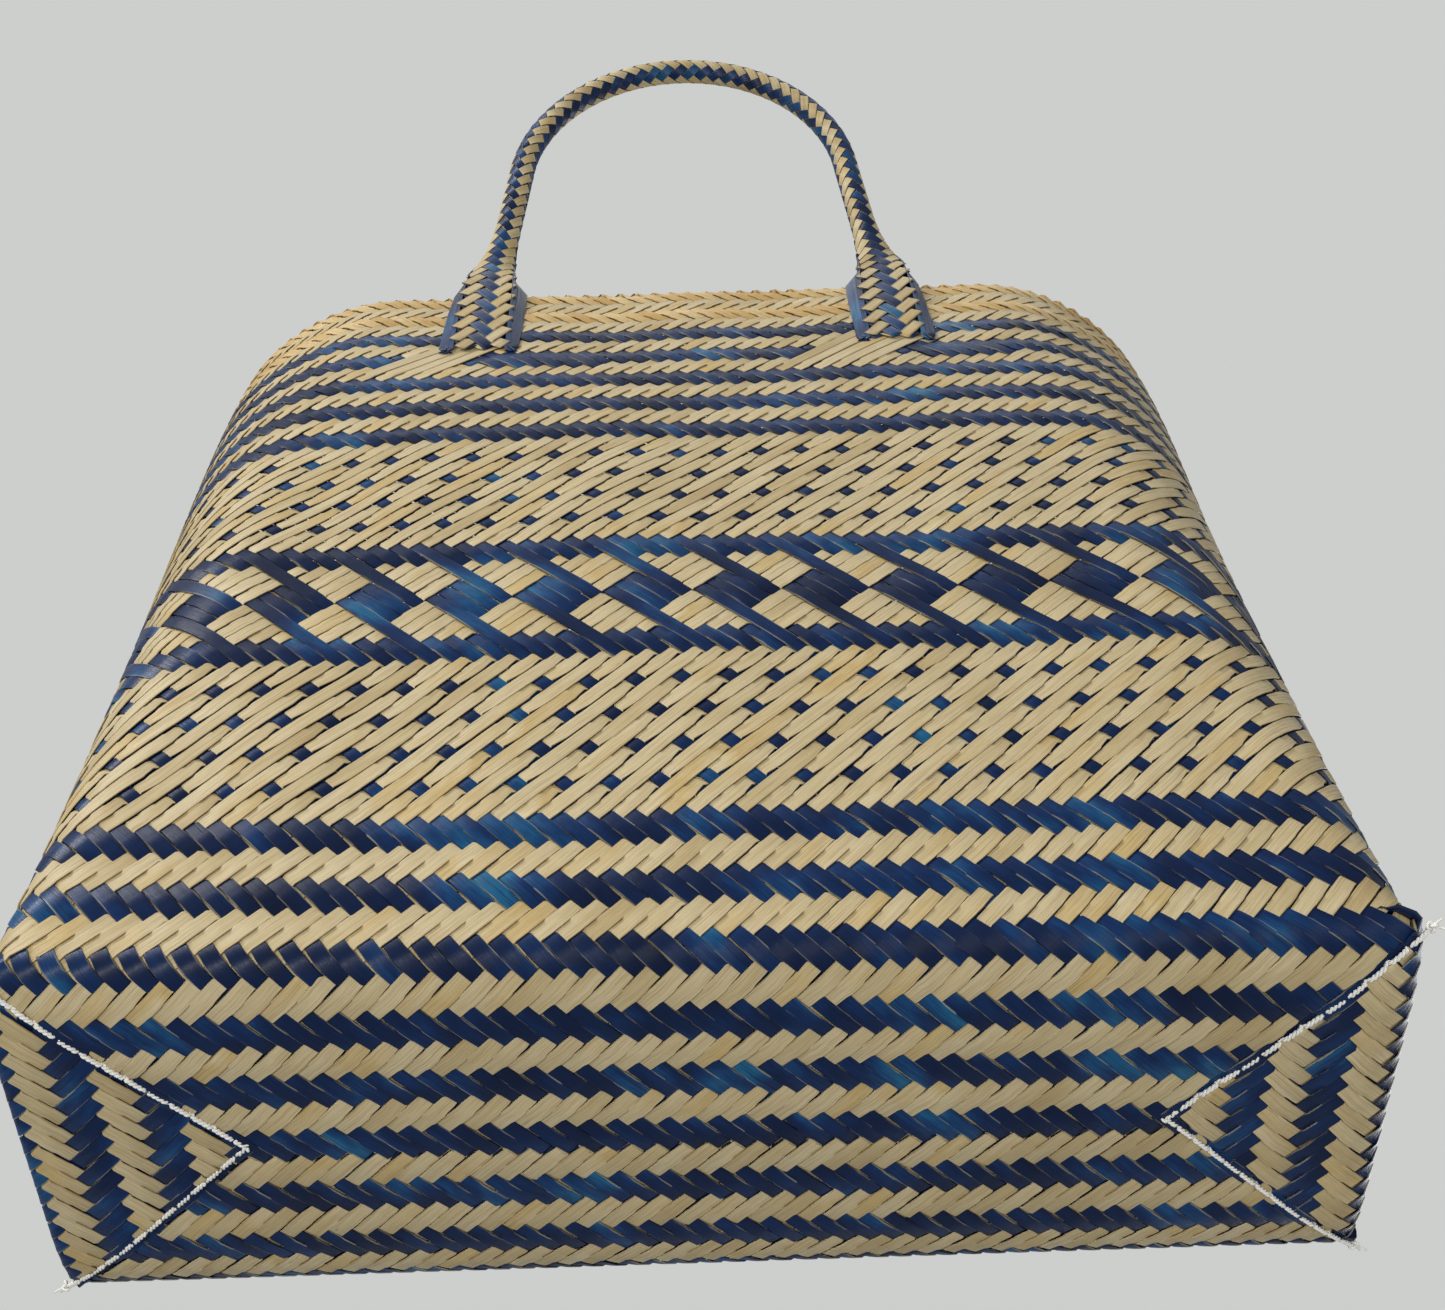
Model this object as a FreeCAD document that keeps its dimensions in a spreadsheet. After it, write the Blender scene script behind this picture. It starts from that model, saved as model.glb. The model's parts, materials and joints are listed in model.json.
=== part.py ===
import FreeCAD, Part
import Sketcher
import math
import os

# Hand-plaited straw tote bag with two arched, plaited handles.
# Row frame: +Z up, mouth on top, front wall faces -Y, width along X.
# Origin: centre of the rest face, underneath the base.  Millimetres.

SIZES = [
    # base panel
    ("base_half_width", 183.6),
    ("base_half_depth", 60.4),
    ("base_flat_half_depth", 34.0),
    ("base_edge_radius", 73.0),
    ("ridge_half_length", 122.4),
    ("mat_thickness", 2.2),
    ("seam_groove_width", 8.0),
    ("seam_groove_depth", 1.7),
    # plaited wall, four level sections from the base to the mouth
    ("wall_thickness", 2.2),
    ("foot_half_width", 183.0),
    ("foot_half_depth", 57.6),
    ("foot_corner", 7.0),
    ("low_half_width", 179.0),
    ("low_half_depth", 81.0),
    ("low_corner", 38.0),
    ("high_half_width", 184.0),
    ("high_half_depth", 90.0),
    ("high_corner", 60.0),
    ("mouth_half_width", 190.0),
    ("mouth_half_depth", 87.0),
    ("mouth_corner", 78.0),
    ("low_level", 118.0),
    ("high_level", 236.0),
    ("mouth_level", 354.0),
    # folded rim
    ("band_level", 318.0),
    ("lining_thickness", 1.8),
    ("lining_height", 26.0),
    # handle
    ("handle_half_span", 77.0),
    ("handle_height", 124.0),
    ("handle_top_radius", 68.0),
    ("handle_radius", 5.2),
    ("core_radius", 3.6),
    ("handle_rest_tilt", 24.0),
    ("hinge_above_mouth", 13.0),
    # handle roots
    ("tab_thickness", 2.4),
    ("tab_half_width", 13.0),
    ("tab_foot_half_width", 9.0),
    ("tab_height", 58.0),
    ("tail_thickness", 2.0),
    ("tail_half_width", 9.0),
    ("tail_height", 46.0),
    ("collar_half_depth", 5.6),
    ("collar_top_half_width", 7.0),
    ("collar_top_half_depth", 5.9),
    ("collar_drop", 3.0),
    ("collar_flat", 1.0),
    ("socket_radius", 5.6),
    # sewing thread
    ("stitch_length", 6.4),
    ("stitch_width", 1.5),
    ("stitch_thickness", 1.3),
    ("stitch_pitch", 6.8),
    ("knot_radius", 2.4),
]

STITCHES_PER_SEAM = 12
STITCH_SLANT = 25.0
SECTOR_REACH = 120.0
SECTOR_INSET = 16.0
MARGIN = 10.0
LIP_LAND = 0.1
KNOT_STAND_OFF = 1.8
KNOT_LEVEL = 6.0
FAR_BELOW = "0 - 30"
FAR_ABOVE = "30"

doc = FreeCAD.newDocument("plaited_tote")
sheet = doc.addObject("Spreadsheet::Sheet", "Sizes")
for row, (alias, value) in enumerate(SIZES, start=1):
    sheet.set("A%d" % row, alias)
    sheet.set("B%d" % row, str(value))
    sheet.setAlias("B%d" % row, alias)
doc.recompute()

XY = FreeCAD.Rotation()
XZ = FreeCAD.Rotation(FreeCAD.Vector(1, 0, 0), 90)
YZ = FreeCAD.Rotation(FreeCAD.Vector(1, 1, 1), 120)


def size(alias):
    return float(sheet.get(alias))


def bind(obj, **expressions):
    """Bind properties to the sheet; a double underscore stands for a dot."""
    for name, text in expressions.items():
        words = text.split(" ")
        aliases = [alias for alias, value in SIZES]
        bound = ["Sizes." + word if word in aliases else word for word in words]
        obj.setExpression(name.replace("__", "."), " ".join(bound))
    return obj


def new(kind, name):
    return doc.addObject(kind, name)


def boolean(kind, name, base, tool):
    obj = new(kind, name)
    obj.Base = base
    obj.Tool = tool
    return obj


def cut(name, base, tool):
    return boolean("Part::Cut", name, base, tool)


def common(name, base, tool):
    return boolean("Part::Common", name, base, tool)


def fuse(name, shapes):
    obj = new("Part::MultiFuse", name)
    obj.Shapes = shapes
    return obj


def slab(name, low, high):
    """A level slab wider than the bag, between two heights."""
    reach = 2 * SECTOR_REACH + size("mouth_half_width")
    obj = new("Part::Box", name)
    obj.Placement.Base = FreeCAD.Vector(-reach, -reach, 0)
    obj.Length = 2 * reach
    obj.Width = 2 * reach
    bind(obj, Placement__Base__z=low, Height="( " + high + " ) - ( " + low + " )")
    return obj


# ---------------------------------------------------------------- body shape

def rounded_rectangle(name, half_width, half_depth, corner, level, x="0", y="0"):
    """Level rounded rectangle about (x, y), every size from the sheet."""
    w, d, r = [evaluate(text) for text in (half_width, half_depth, corner)]
    vector = FreeCAD.Vector
    sketch = new("Sketcher::SketchObject", name)
    quarter = math.pi / 2
    ends = [
        (vector(-w + r, -d, 0), vector(w - r, -d, 0)),
        (vector(w, -d + r, 0), vector(w, d - r, 0)),
        (vector(w - r, d, 0), vector(-w + r, d, 0)),
        (vector(-w, d - r, 0), vector(-w, -d + r, 0)),
    ]
    centres = [vector(w - r, -d + r, 0), vector(w - r, d - r, 0),
               vector(-w + r, d - r, 0), vector(-w + r, -d + r, 0)]
    for k in range(4):
        sketch.addGeometry(Part.LineSegment(*ends[k]), False)
        circle = Part.Circle(centres[k], vector(0, 0, 1), r)
        start = (k - 1) * quarter
        sketch.addGeometry(Part.ArcOfCircle(circle, start, start + quarter), False)
    lines = [0, 2, 4, 6]
    arcs = [1, 3, 5, 7]
    for k in range(4):
        following = lines[(k + 1) % 4]
        sketch.addConstraint(Sketcher.Constraint("Tangent", lines[k], 2, arcs[k], 1))
        sketch.addConstraint(Sketcher.Constraint("Tangent", arcs[k], 2, following, 1))
    for arc in arcs[1:]:
        sketch.addConstraint(Sketcher.Constraint("Equal", arcs[0], arc))
    sketch.addConstraint(Sketcher.Constraint("Symmetric", 0, 1, 0, 2, -2))
    sketch.addConstraint(Sketcher.Constraint("Symmetric", 6, 1, 6, 2, -1))
    sketch.addConstraint(Sketcher.Constraint("Horizontal", 4))
    sketch.addConstraint(Sketcher.Constraint("Vertical", 2))
    radius = sketch.addConstraint(Sketcher.Constraint("Radius", 1, r))
    width = sketch.addConstraint(Sketcher.Constraint("DistanceX", 6, 1, 2, 1, 2 * w))
    depth = sketch.addConstraint(Sketcher.Constraint("DistanceY", 0, 1, 4, 1, 2 * d))
    bind_constraint(sketch, radius, corner)
    bind_constraint(sketch, width, "2 * ( " + half_width + " )")
    bind_constraint(sketch, depth, "2 * ( " + half_depth + " )")
    bind(sketch, Placement__Base__x=x, Placement__Base__y=y, Placement__Base__z=level)
    return sketch


def evaluate(text):
    """Value of a space-separated sum of aliases and numbers."""
    total = 0.0
    sign = 1.0
    for word in text.split(" "):
        if word == "+":
            sign = 1.0
        elif word == "-":
            sign = -1.0
        elif word[0].isdigit():
            total += sign * float(word)
        else:
            total += sign * size(word)
    return total


def bind_constraint(sketch, index, text):
    name = "size_%d" % index
    sketch.renameConstraint(index, name)
    bind(sketch, **{"Constraints__" + name: text})


def bag_loft(name, offset):
    """Solid of the bag's outside, grown or shrunk by an offset such as '- wall_thickness'."""
    levels = [("foot", "0"), ("low", "low_level"), ("high", "high_level"), ("mouth", "mouth_level")]
    sections = []
    for prefix, level in levels:
        texts = [prefix + part + offset for part in ("_half_width", "_half_depth", "_corner")]
        sections.append(rounded_rectangle(name + "_" + prefix, texts[0], texts[1], texts[2], level))
    doc.recompute()
    loft = new("Part::Loft", name)
    loft.Sections = sections
    loft.Solid = True
    loft.Ruled = False
    return loft


def base_profile(name, low, high):
    """Cross-section of a base layer between two heights above the underside."""
    flat = size("base_flat_half_depth")
    radius = size("base_edge_radius")
    reach = size("base_half_depth")
    vector = FreeCAD.Vector
    sweep = math.asin((reach - flat) / radius)
    inner = radius - evaluate(high)
    outer = radius - evaluate(low)
    sketch = new("Sketcher::SketchObject", name)
    sketch.Placement = FreeCAD.Placement(vector(0, 0, 0), YZ)
    down = -math.pi / 2
    add = sketch.addGeometry
    right = vector(flat, radius, 0)
    left = vector(-flat, radius, 0)
    axis = vector(0, 0, 1)
    add(Part.LineSegment(vector(-flat, radius - outer, 0), vector(flat, radius - outer, 0)), False)
    add(Part.ArcOfCircle(Part.Circle(right, axis, outer), down, down + sweep), False)
    tip = vector(math.sin(sweep), -math.cos(sweep), 0)
    add(Part.LineSegment(right + tip * outer, right + tip * inner), False)
    add(Part.ArcOfCircle(Part.Circle(right, axis, inner), down, down + sweep), False)
    add(Part.LineSegment(vector(flat, radius - inner, 0), vector(-flat, radius - inner, 0)), False)
    add(Part.ArcOfCircle(Part.Circle(left, axis, inner), down - sweep, down), False)
    tip = vector(-math.sin(sweep), -math.cos(sweep), 0)
    add(Part.LineSegment(left + tip * inner, left + tip * outer), False)
    add(Part.ArcOfCircle(Part.Circle(left, axis, outer), down - sweep, down), False)
    joints = [("Tangent", 0, 2, 1, 1), ("Coincident", 1, 2, 2, 1), ("Coincident", 2, 2, 3, 2),
              ("Tangent", 3, 1, 4, 1), ("Tangent", 4, 2, 5, 2), ("Coincident", 5, 1, 6, 1),
              ("Coincident", 6, 2, 7, 1), ("Tangent", 7, 2, 0, 1), ("Coincident", 1, 3, 3, 3),
              ("Coincident", 5, 3, 7, 3), ("Symmetric", 0, 1, 0, 2, -2), ("Equal", 1, 7),
              ("Equal", 3, 5), ("PointOnObject", 1, 3, 2), ("PointOnObject", 5, 3, 6),
              ("Horizontal", 1, 2, 7, 1)]
    for item in joints:
        sketch.addConstraint(Sketcher.Constraint(*item))
    reach_now = 2 * (flat + outer * math.sin(sweep))
    sizes = [
        (("DistanceX", 0, 1, 0, 2, 2 * flat), "2 * base_flat_half_depth"),
        (("Radius", 1, outer), "base_edge_radius - ( " + low + " )"),
        (("Radius", 3, inner), "base_edge_radius - ( " + high + " )"),
        (("DistanceY", -1, 1, 1, 3, radius), "base_edge_radius"),
        (("DistanceX", 7, 1, 1, 2, reach_now),
         "2 * ( base_flat_half_depth + ( base_edge_radius - ( " + low + " ) ) * "
         "( base_half_depth - base_flat_half_depth ) / base_edge_radius )"),
    ]
    for item, text in sizes:
        bind_constraint(sketch, sketch.addConstraint(Sketcher.Constraint(*item)), text)
    return sketch


def layer(name, low, high):
    """The base's bent sheet between two heights, as long as the base."""
    profile = base_profile(name + "_profile", low, high)
    sheet_part = new("Part::Extrusion", name)
    sheet_part.Base = profile
    sheet_part.DirMode = "Custom"
    sheet_part.Dir = FreeCAD.Vector(1, 0, 0)
    sheet_part.Solid = True
    sheet_part.Symmetric = True
    bind(sheet_part, LengthFwd="2 * base_half_width")
    return sheet_part


def prism(name, corners, low, high):
    """Upright prism on a level polygon; the corners are numbers."""
    height = evaluate(high) - evaluate(low)
    points = [FreeCAD.Vector(x, y, evaluate(low)) for x, y in corners]
    face = Part.Face(Part.makePolygon(points + points[:1]))
    solid = new("Part::Feature", name)
    solid.Shape = face.extrude(FreeCAD.Vector(0, 0, height))
    return solid


def sector(name, first, second):
    """Wedge between two mitre lines; each is a pair of corner signs in X and Y."""
    sections = []
    for level, w, d in mitre_levels():
        ring = []
        steps = (-SECTOR_INSET, SECTOR_REACH)
        for (sx, sy), along in ((first, steps), (second, reversed(steps))):
            for step in along:
                ring.append(FreeCAD.Vector(sx * (w + step), sy * (d + step), level))
        sections.append(Part.makePolygon(ring + ring[:1]))
    wedge = new("Part::Feature", name)
    wedge.Shape = Part.makeLoft(sections, True, True)
    return wedge


def mitre_levels():
    """Heights and corner points of the mitre lines between neighbouring walls."""
    w, d, r = [size("mouth" + part) for part in ("_half_width", "_half_depth", "_corner")]
    pull = r * (1 - math.sqrt(0.5))
    foot = (size("foot_half_width"), size("foot_half_depth"))
    top = (w - pull, d - pull)
    height = size("mouth_level")
    levels = []
    for level in (-MARGIN, height + MARGIN):
        share = level / height
        levels.append((level,
                       foot[0] + share * (top[0] - foot[0]),
                       foot[1] + share * (top[1] - foot[1])))
    return levels


CORNERS = {
    "front": ((-1, -1), (1, -1)),
    "right_side": ((1, -1), (1, 1)),
    "back": ((1, 1), (-1, 1)),
    "left_side": ((-1, 1), (-1, -1)),
}


def build_walls():
    """Four plaited walls, mitred at the corners, and the undyed band at the mouth."""
    outside = bag_loft("bag_outside", "")
    inside = bag_loft("bag_inside", " - wall_thickness")
    plait = cut("plait_shell", outside, inside)
    under = layer("below_walls", FAR_BELOW, "mat_thickness")
    standing = cut("standing_shell", plait, under)
    lower = common("wall_ring", standing, slab("wall_slab", FAR_BELOW, "band_level"))
    nodes = {}
    for place, (first, second) in CORNERS.items():
        wedge = sector(place + "_sector", first, second)
        nodes[place + "_wall"] = common(place + "_wall", lower, wedge)
    nodes["rim_band"] = common("rim_band", standing, slab("band_slab", "band_level", "mouth_level"))
    return nodes, outside, inside


def build_rim(inside):
    """Strand ends folded over the mouth: a rounded lip and a turned-down lining."""
    deeper = bag_loft("lining_inside", " - wall_thickness - lining_thickness")
    ring = cut("lining_shell", inside, deeper)
    lining_slab = slab("lining_slab", "mouth_level - lining_height", "mouth_level")
    lining = common("rim_lining", ring, lining_slab)
    outer = rounded_rectangle("lip_outer", "mouth_half_width", "mouth_half_depth",
                              "mouth_corner", "mouth_level")
    less = " - wall_thickness - lining_thickness"
    inner = rounded_rectangle("lip_inner", "mouth_half_width" + less, "mouth_half_depth" + less,
                              "mouth_corner" + less, "mouth_level")
    blocks = []
    for outline in (outer, inner):
        block = new("Part::Extrusion", outline.Name + "_block")
        block.Base = outline
        block.DirMode = "Normal"
        block.Solid = True
        bind(block, LengthFwd="( wall_thickness + lining_thickness ) / 2")
        blocks.append(block)
    square = cut("lip_square", blocks[0], blocks[1])
    doc.recompute()
    lip = new("Part::Fillet", "rim_lip")
    lip.Base = square
    radius = (size("wall_thickness") + size("lining_thickness")) / 2 - LIP_LAND
    top = size("mouth_level") + (size("wall_thickness") + size("lining_thickness")) / 2
    edges = [k + 1 for k, edge in enumerate(square.Shape.Edges)
             if edge.BoundBox.ZMin > top - LIP_LAND]
    lip.Edges = [(index, radius, radius) for index in edges]
    return {"rim_lining": lining, "rim_lip": lip}, deeper


def hip_points(sx, sy):
    """Plan ends of one sewn diagonal: base corner and ridge end."""
    corner = (sx * size("base_half_width"), sy * size("base_half_depth"))
    ridge = (sx * size("ridge_half_length"), 0.0)
    return corner, ridge


def groove(name, sx, sy):
    """Straight channel, in plan, along one sewn diagonal."""
    corner, ridge = hip_points(sx, sy)
    dx, dy = ridge[0] - corner[0], ridge[1] - corner[1]
    run = math.hypot(dx, dy)
    bar = new("Part::Box", name)
    bar.Length = run + 2 * size("seam_groove_width")
    bar.Height = 2 * MARGIN
    bind(bar, Width="seam_groove_width")
    turn = FreeCAD.Rotation(FreeCAD.Vector(0, 0, 1), math.degrees(math.atan2(dy, dx)))
    shift = turn.multVec(FreeCAD.Vector(-size("seam_groove_width"), -size("seam_groove_width") / 2, 0))
    bar.Placement = FreeCAD.Placement(FreeCAD.Vector(corner[0], corner[1], -MARGIN) + shift, turn)
    return bar


def stitches(name, sx, sy, thread_layer):
    """Slanting stitches laid across one diagonal, following the base's curve."""
    corner, ridge = hip_points(sx, sy)
    dx, dy = ridge[0] - corner[0], ridge[1] - corner[1]
    run = math.hypot(dx, dy)
    heading = math.degrees(math.atan2(dy, dx)) + 90 + STITCH_SLANT * sx * sy
    turn = FreeCAD.Rotation(FreeCAD.Vector(0, 0, 1), heading)
    bars = []
    first = (run - (STITCHES_PER_SEAM - 1) * size("stitch_pitch")) / 2
    for k in range(STITCHES_PER_SEAM):
        along = (first + k * size("stitch_pitch")) / run
        bar = new("Part::Box", "%s_bar_%d" % (name, k + 1))
        bar.Height = 2 * MARGIN
        bind(bar, Length="stitch_length", Width="stitch_width")
        shift = turn.multVec(FreeCAD.Vector(-size("stitch_length") / 2, -size("stitch_width") / 2, 0))
        middle = FreeCAD.Vector(corner[0] + along * dx, corner[1] + along * dy, -MARGIN)
        bar.Placement = FreeCAD.Placement(middle + shift, turn)
        bars.append(bar)
    return common(name, fuse(name + "_bars", bars), thread_layer)


def build_base():
    """Centre mat, two end flaps folded under, and the sewing that joins them."""
    whole = layer("base_sheet", "0", "mat_thickness")
    low = layer("seam_layer", "0", "seam_groove_depth")
    thread_layer = layer("thread_layer", "seam_groove_depth - stitch_thickness", "seam_groove_depth")
    signs = [(-1, -1), (1, -1), (1, 1), (-1, 1)]
    bars = fuse("seam_bars", [groove("seam_bar_%d" % k, sx, sy) for k, (sx, sy) in enumerate(signs)])
    channels = common("seam_channels", low, bars)
    sheet_cut = cut("grooved_sheet", whole, channels)
    nodes = {}
    triangles = []
    for side, sx in (("left", -1), ("right", 1)):
        reach = 2 * size("base_half_width") - size("ridge_half_length")
        rise = (reach - size("ridge_half_length")) * size("base_half_depth")
        rise = rise / (size("base_half_width") - size("ridge_half_length"))
        outline = [(sx * size("ridge_half_length"), 0), (sx * reach, -rise), (sx * reach, rise)]
        triangle = prism(side + "_triangle", outline, FAR_BELOW, FAR_ABOVE)
        triangles.append(triangle)
        nodes["end_flap_" + side] = common("end_flap_" + side, sheet_cut, triangle)
    nodes["base_mat"] = cut("base_mat", sheet_cut, fuse("triangles", triangles))
    for sx, sy in signs:
        place = ("front" if sy < 0 else "back") + ("_left" if sx < 0 else "_right")
        name = "seam_thread_" + place
        nodes[name] = stitches(name, sx, sy, thread_layer)
    return nodes


def build_knots():
    """Thread knots just outside the four base corners, as one node of separate solids."""
    balls = []
    for k, (sx, sy) in enumerate([(-1, -1), (1, -1), (1, 1), (-1, 1)]):
        ball = new("Part::Sphere", "knot_%d" % k)
        bind(ball, Radius="knot_radius")
        ball.Placement.Base = FreeCAD.Vector(sx * (size("base_half_width") + KNOT_STAND_OFF),
                                             sy * (size("base_half_depth") + KNOT_STAND_OFF), KNOT_LEVEL)
        balls.append(ball)
    return {"seam_knots": fuse("seam_knots", balls)}


# ------------------------------------------------------------------- handles

def body_sketch(body, name, role):
    sketch = body.newObject("Sketcher::SketchObject", name)
    plane = [item for item in body.Origin.OriginFeatures if item.Role == role][0]
    sketch.AttachmentSupport = (plane, [""])
    sketch.MapMode = "FlatFace"
    return sketch


def arch_path(body, name):
    """Leg, round top and leg in the body's XZ plane, starting on the hinge line."""
    span, round_top = size("handle_half_span"), size("handle_top_radius")
    centre = size("handle_height") - round_top
    angle = leg_angle(span, centre, round_top)
    vector = FreeCAD.Vector
    touch = vector(round_top * math.cos(angle), centre + round_top * math.sin(angle), 0)
    path = body_sketch(body, name, "XZ_Plane")
    path.addGeometry(Part.LineSegment(vector(-span, 0, 0), vector(-touch.x, touch.y, 0)), False)
    circle = Part.Circle(vector(0, centre, 0), vector(0, 0, 1), round_top)
    path.addGeometry(Part.ArcOfCircle(circle, angle, math.pi - angle), False)
    path.addGeometry(Part.LineSegment(touch, vector(span, 0, 0)), False)
    joints = [("Tangent", 0, 2, 1, 2), ("Tangent", 1, 1, 2, 1), ("PointOnObject", 0, 1, -1),
              ("PointOnObject", 2, 2, -1), ("PointOnObject", 1, 3, -2)]
    for item in joints:
        path.addConstraint(Sketcher.Constraint(*item))
    sizes = [
        (("Radius", 1, round_top), "handle_top_radius"),
        (("DistanceX", 0, 1, -1, 1, span), "handle_half_span"),
        (("DistanceX", -1, 1, 2, 2, span), "handle_half_span"),
        (("DistanceY", -1, 1, 1, 3, centre), "handle_height - handle_top_radius"),
    ]
    for item, text in sizes:
        bind_constraint(path, path.addConstraint(Sketcher.Constraint(*item)), text)
    return path


def leg_angle(span, rise, radius):
    """Angle above level at which a leg from (span, 0) touches a circle centred at (0, rise)."""
    reach = math.hypot(span, rise)
    return math.acos(radius / reach) - math.atan2(rise, span)


def arch_rod(name, radius, placement):
    """Round rod bent to the handle's arch, with ball ends centred on the hinge line."""
    body = new("PartDesign::Body", name)
    path = arch_path(body, name + "_path")
    ring = body_sketch(body, name + "_section", "XY_Plane")
    span = size("handle_half_span")
    start = FreeCAD.Vector(-span, 0, 0)
    ring.addGeometry(Part.Circle(start, FreeCAD.Vector(0, 0, 1), size(radius)), False)
    ring.addConstraint(Sketcher.Constraint("PointOnObject", 0, 3, -1))
    bind_constraint(ring, ring.addConstraint(Sketcher.Constraint("Radius", 0, size(radius))), radius)
    across = ring.addConstraint(Sketcher.Constraint("DistanceX", 0, 3, -1, 1, span))
    bind_constraint(ring, across, "handle_half_span")
    doc.recompute()
    pipe = body.newObject("PartDesign::AdditivePipe", name + "_pipe")
    pipe.Profile = ring
    pipe.Spine = path
    doc.recompute()
    for place, sx in (("left", -1), ("right", 1)):
        ball = body.newObject("PartDesign::AdditiveSphere", "%s_ball_%s" % (name, place))
        ball.Placement.Base = FreeCAD.Vector(sx * span, 0, 0)
        bind(ball, Radius=radius)
        doc.recompute()
    body.Placement = placement
    doc.recompute()
    return body


def rim_middle(sign):
    """Y of the middle of the two-layer rim on the front (-) or back (+) wall."""
    middle = size("mouth_half_depth") - (size("wall_thickness") + size("lining_thickness")) / 2
    return sign * middle


def build_handle(side, sign, outside, inside_rim, lip):
    """One plaited handle on its core, and the fixed roots it springs from."""
    turn = FreeCAD.Rotation(FreeCAD.Vector(0, 0, 1), 0 if sign < 0 else 180)
    tilt = FreeCAD.Rotation(FreeCAD.Vector(1, 0, 0), size("handle_rest_tilt"))
    hinge_level = size("mouth_level") + size("hinge_above_mouth")
    hinge = FreeCAD.Placement(FreeCAD.Vector(0, rim_middle(sign), hinge_level), turn.multiply(tilt))
    full = arch_rod(side + "_handle_rod", "handle_radius", hinge)
    core = arch_rod(side + "_handle_core", "core_radius", hinge)
    braid = cut(side + "_handle_braid", full, core)
    nodes = {side + "_handle_core": core, side + "_handle_braid": braid}
    for place, sx in (("left", -1), ("right", 1)):
        name = side + "_root_" + place
        x = sx * size("handle_half_span")
        nodes[name + "_tab"] = root_strip(name + "_tab", outside["tab"], x, sign, "tab")
        nodes[name + "_tail"] = root_strip(name + "_tail", inside_rim, x, sign, "tail")
        nodes[name + "_collar"] = root_collar(name + "_collar", x, sign, lip)
    return nodes


def root_strip(name, shell, x, sign, kind):
    """Flat plaited strip lying on a wall, cut from a shell by its outline."""
    top = size("mouth_level")
    low = top - size(kind + "_height")
    half = size(kind + "_half_width")
    foot = size("tab_foot_half_width") if kind == "tab" else half
    points = [(x - foot, low), (x + foot, low), (x + half, top), (x - half, top)]
    corners = [FreeCAD.Vector(px, 0, pz) for px, pz in points]
    face = Part.Face(Part.makePolygon(corners + corners[:1]))
    outline = new("Part::Feature", name + "_outline")
    outline.Shape = face.extrude(FreeCAD.Vector(0, sign * SECTOR_REACH, 0))
    return common(name, shell, outline)


def root_collar(name, x, sign, lip):
    """Flared plait that straddles the lip and cups the handle's leg."""
    y = str(abs(rim_middle(sign)))
    y = y if sign > 0 else "0 - " + y
    px = str(abs(x)) if x > 0 else "0 - " + str(abs(x))
    foot = rounded_rectangle(name + "_foot", "tab_half_width", "collar_half_depth",
                             "collar_half_depth - collar_flat", "mouth_level", px, y)
    head = rounded_rectangle(name + "_head", "collar_top_half_width", "collar_top_half_depth",
                             "collar_top_half_depth - collar_flat",
                             "mouth_level + hinge_above_mouth - collar_drop", px, y)
    doc.recompute()
    flare = new("Part::Loft", name + "_flare")
    flare.Sections = [foot, head]
    flare.Solid = True
    flare.Ruled = True
    cup = new("Part::Cylinder", name + "_cup")
    bind(cup, Radius="socket_radius", Height="4 * tab_half_width")
    cup.Placement = FreeCAD.Placement(
        FreeCAD.Vector(x - 2 * size("tab_half_width"), rim_middle(sign),
                       size("mouth_level") + size("hinge_above_mouth")),
        FreeCAD.Rotation(FreeCAD.Vector(0, 1, 0), 90))
    return cut(name, cut(name + "_straddle", flare, lip), cup)


def build():
    nodes, outside, inside = build_walls()
    rim, deeper = build_rim(inside)
    nodes.update(rim)
    nodes.update(build_base())
    nodes.update(build_knots())
    tab_skin = bag_loft("tab_outside", " + tab_thickness")
    tail_skin = bag_loft("tail_inside", " - wall_thickness - lining_thickness - tail_thickness")
    shells = {"tab": cut("tab_shell", tab_skin, outside)}
    tail_shell = cut("tail_shell", deeper, tail_skin)
    for side, sign in (("front", -1), ("back", 1)):
        nodes.update(build_handle(side, sign, shells, tail_shell, rim["rim_lip"]))
    doc.recompute()
    return nodes


def write(nodes):
    os.makedirs("parts", exist_ok=True)
    for obj in doc.Objects:
        if "Invalid" in obj.State or "Error" in obj.State:
            raise RuntimeError("%s did not compute: %s" % (obj.Name, obj.State))
    for name, obj in sorted(nodes.items()):
        obj.Label = name
        shape = obj.Shape
        if shape.isNull() or not shape.isValid() or not shape.Solids:
            raise RuntimeError("%s has no valid solid" % name)
        shape.exportStep("parts/%s.step" % name)
        print("%-28s solids %2d volume %10.1f mm3" % (name, len(shape.Solids), shape.Volume))


write(build())
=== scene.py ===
import json
import math

import bpy
import numpy as np
from mathutils import Matrix, Vector


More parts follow.
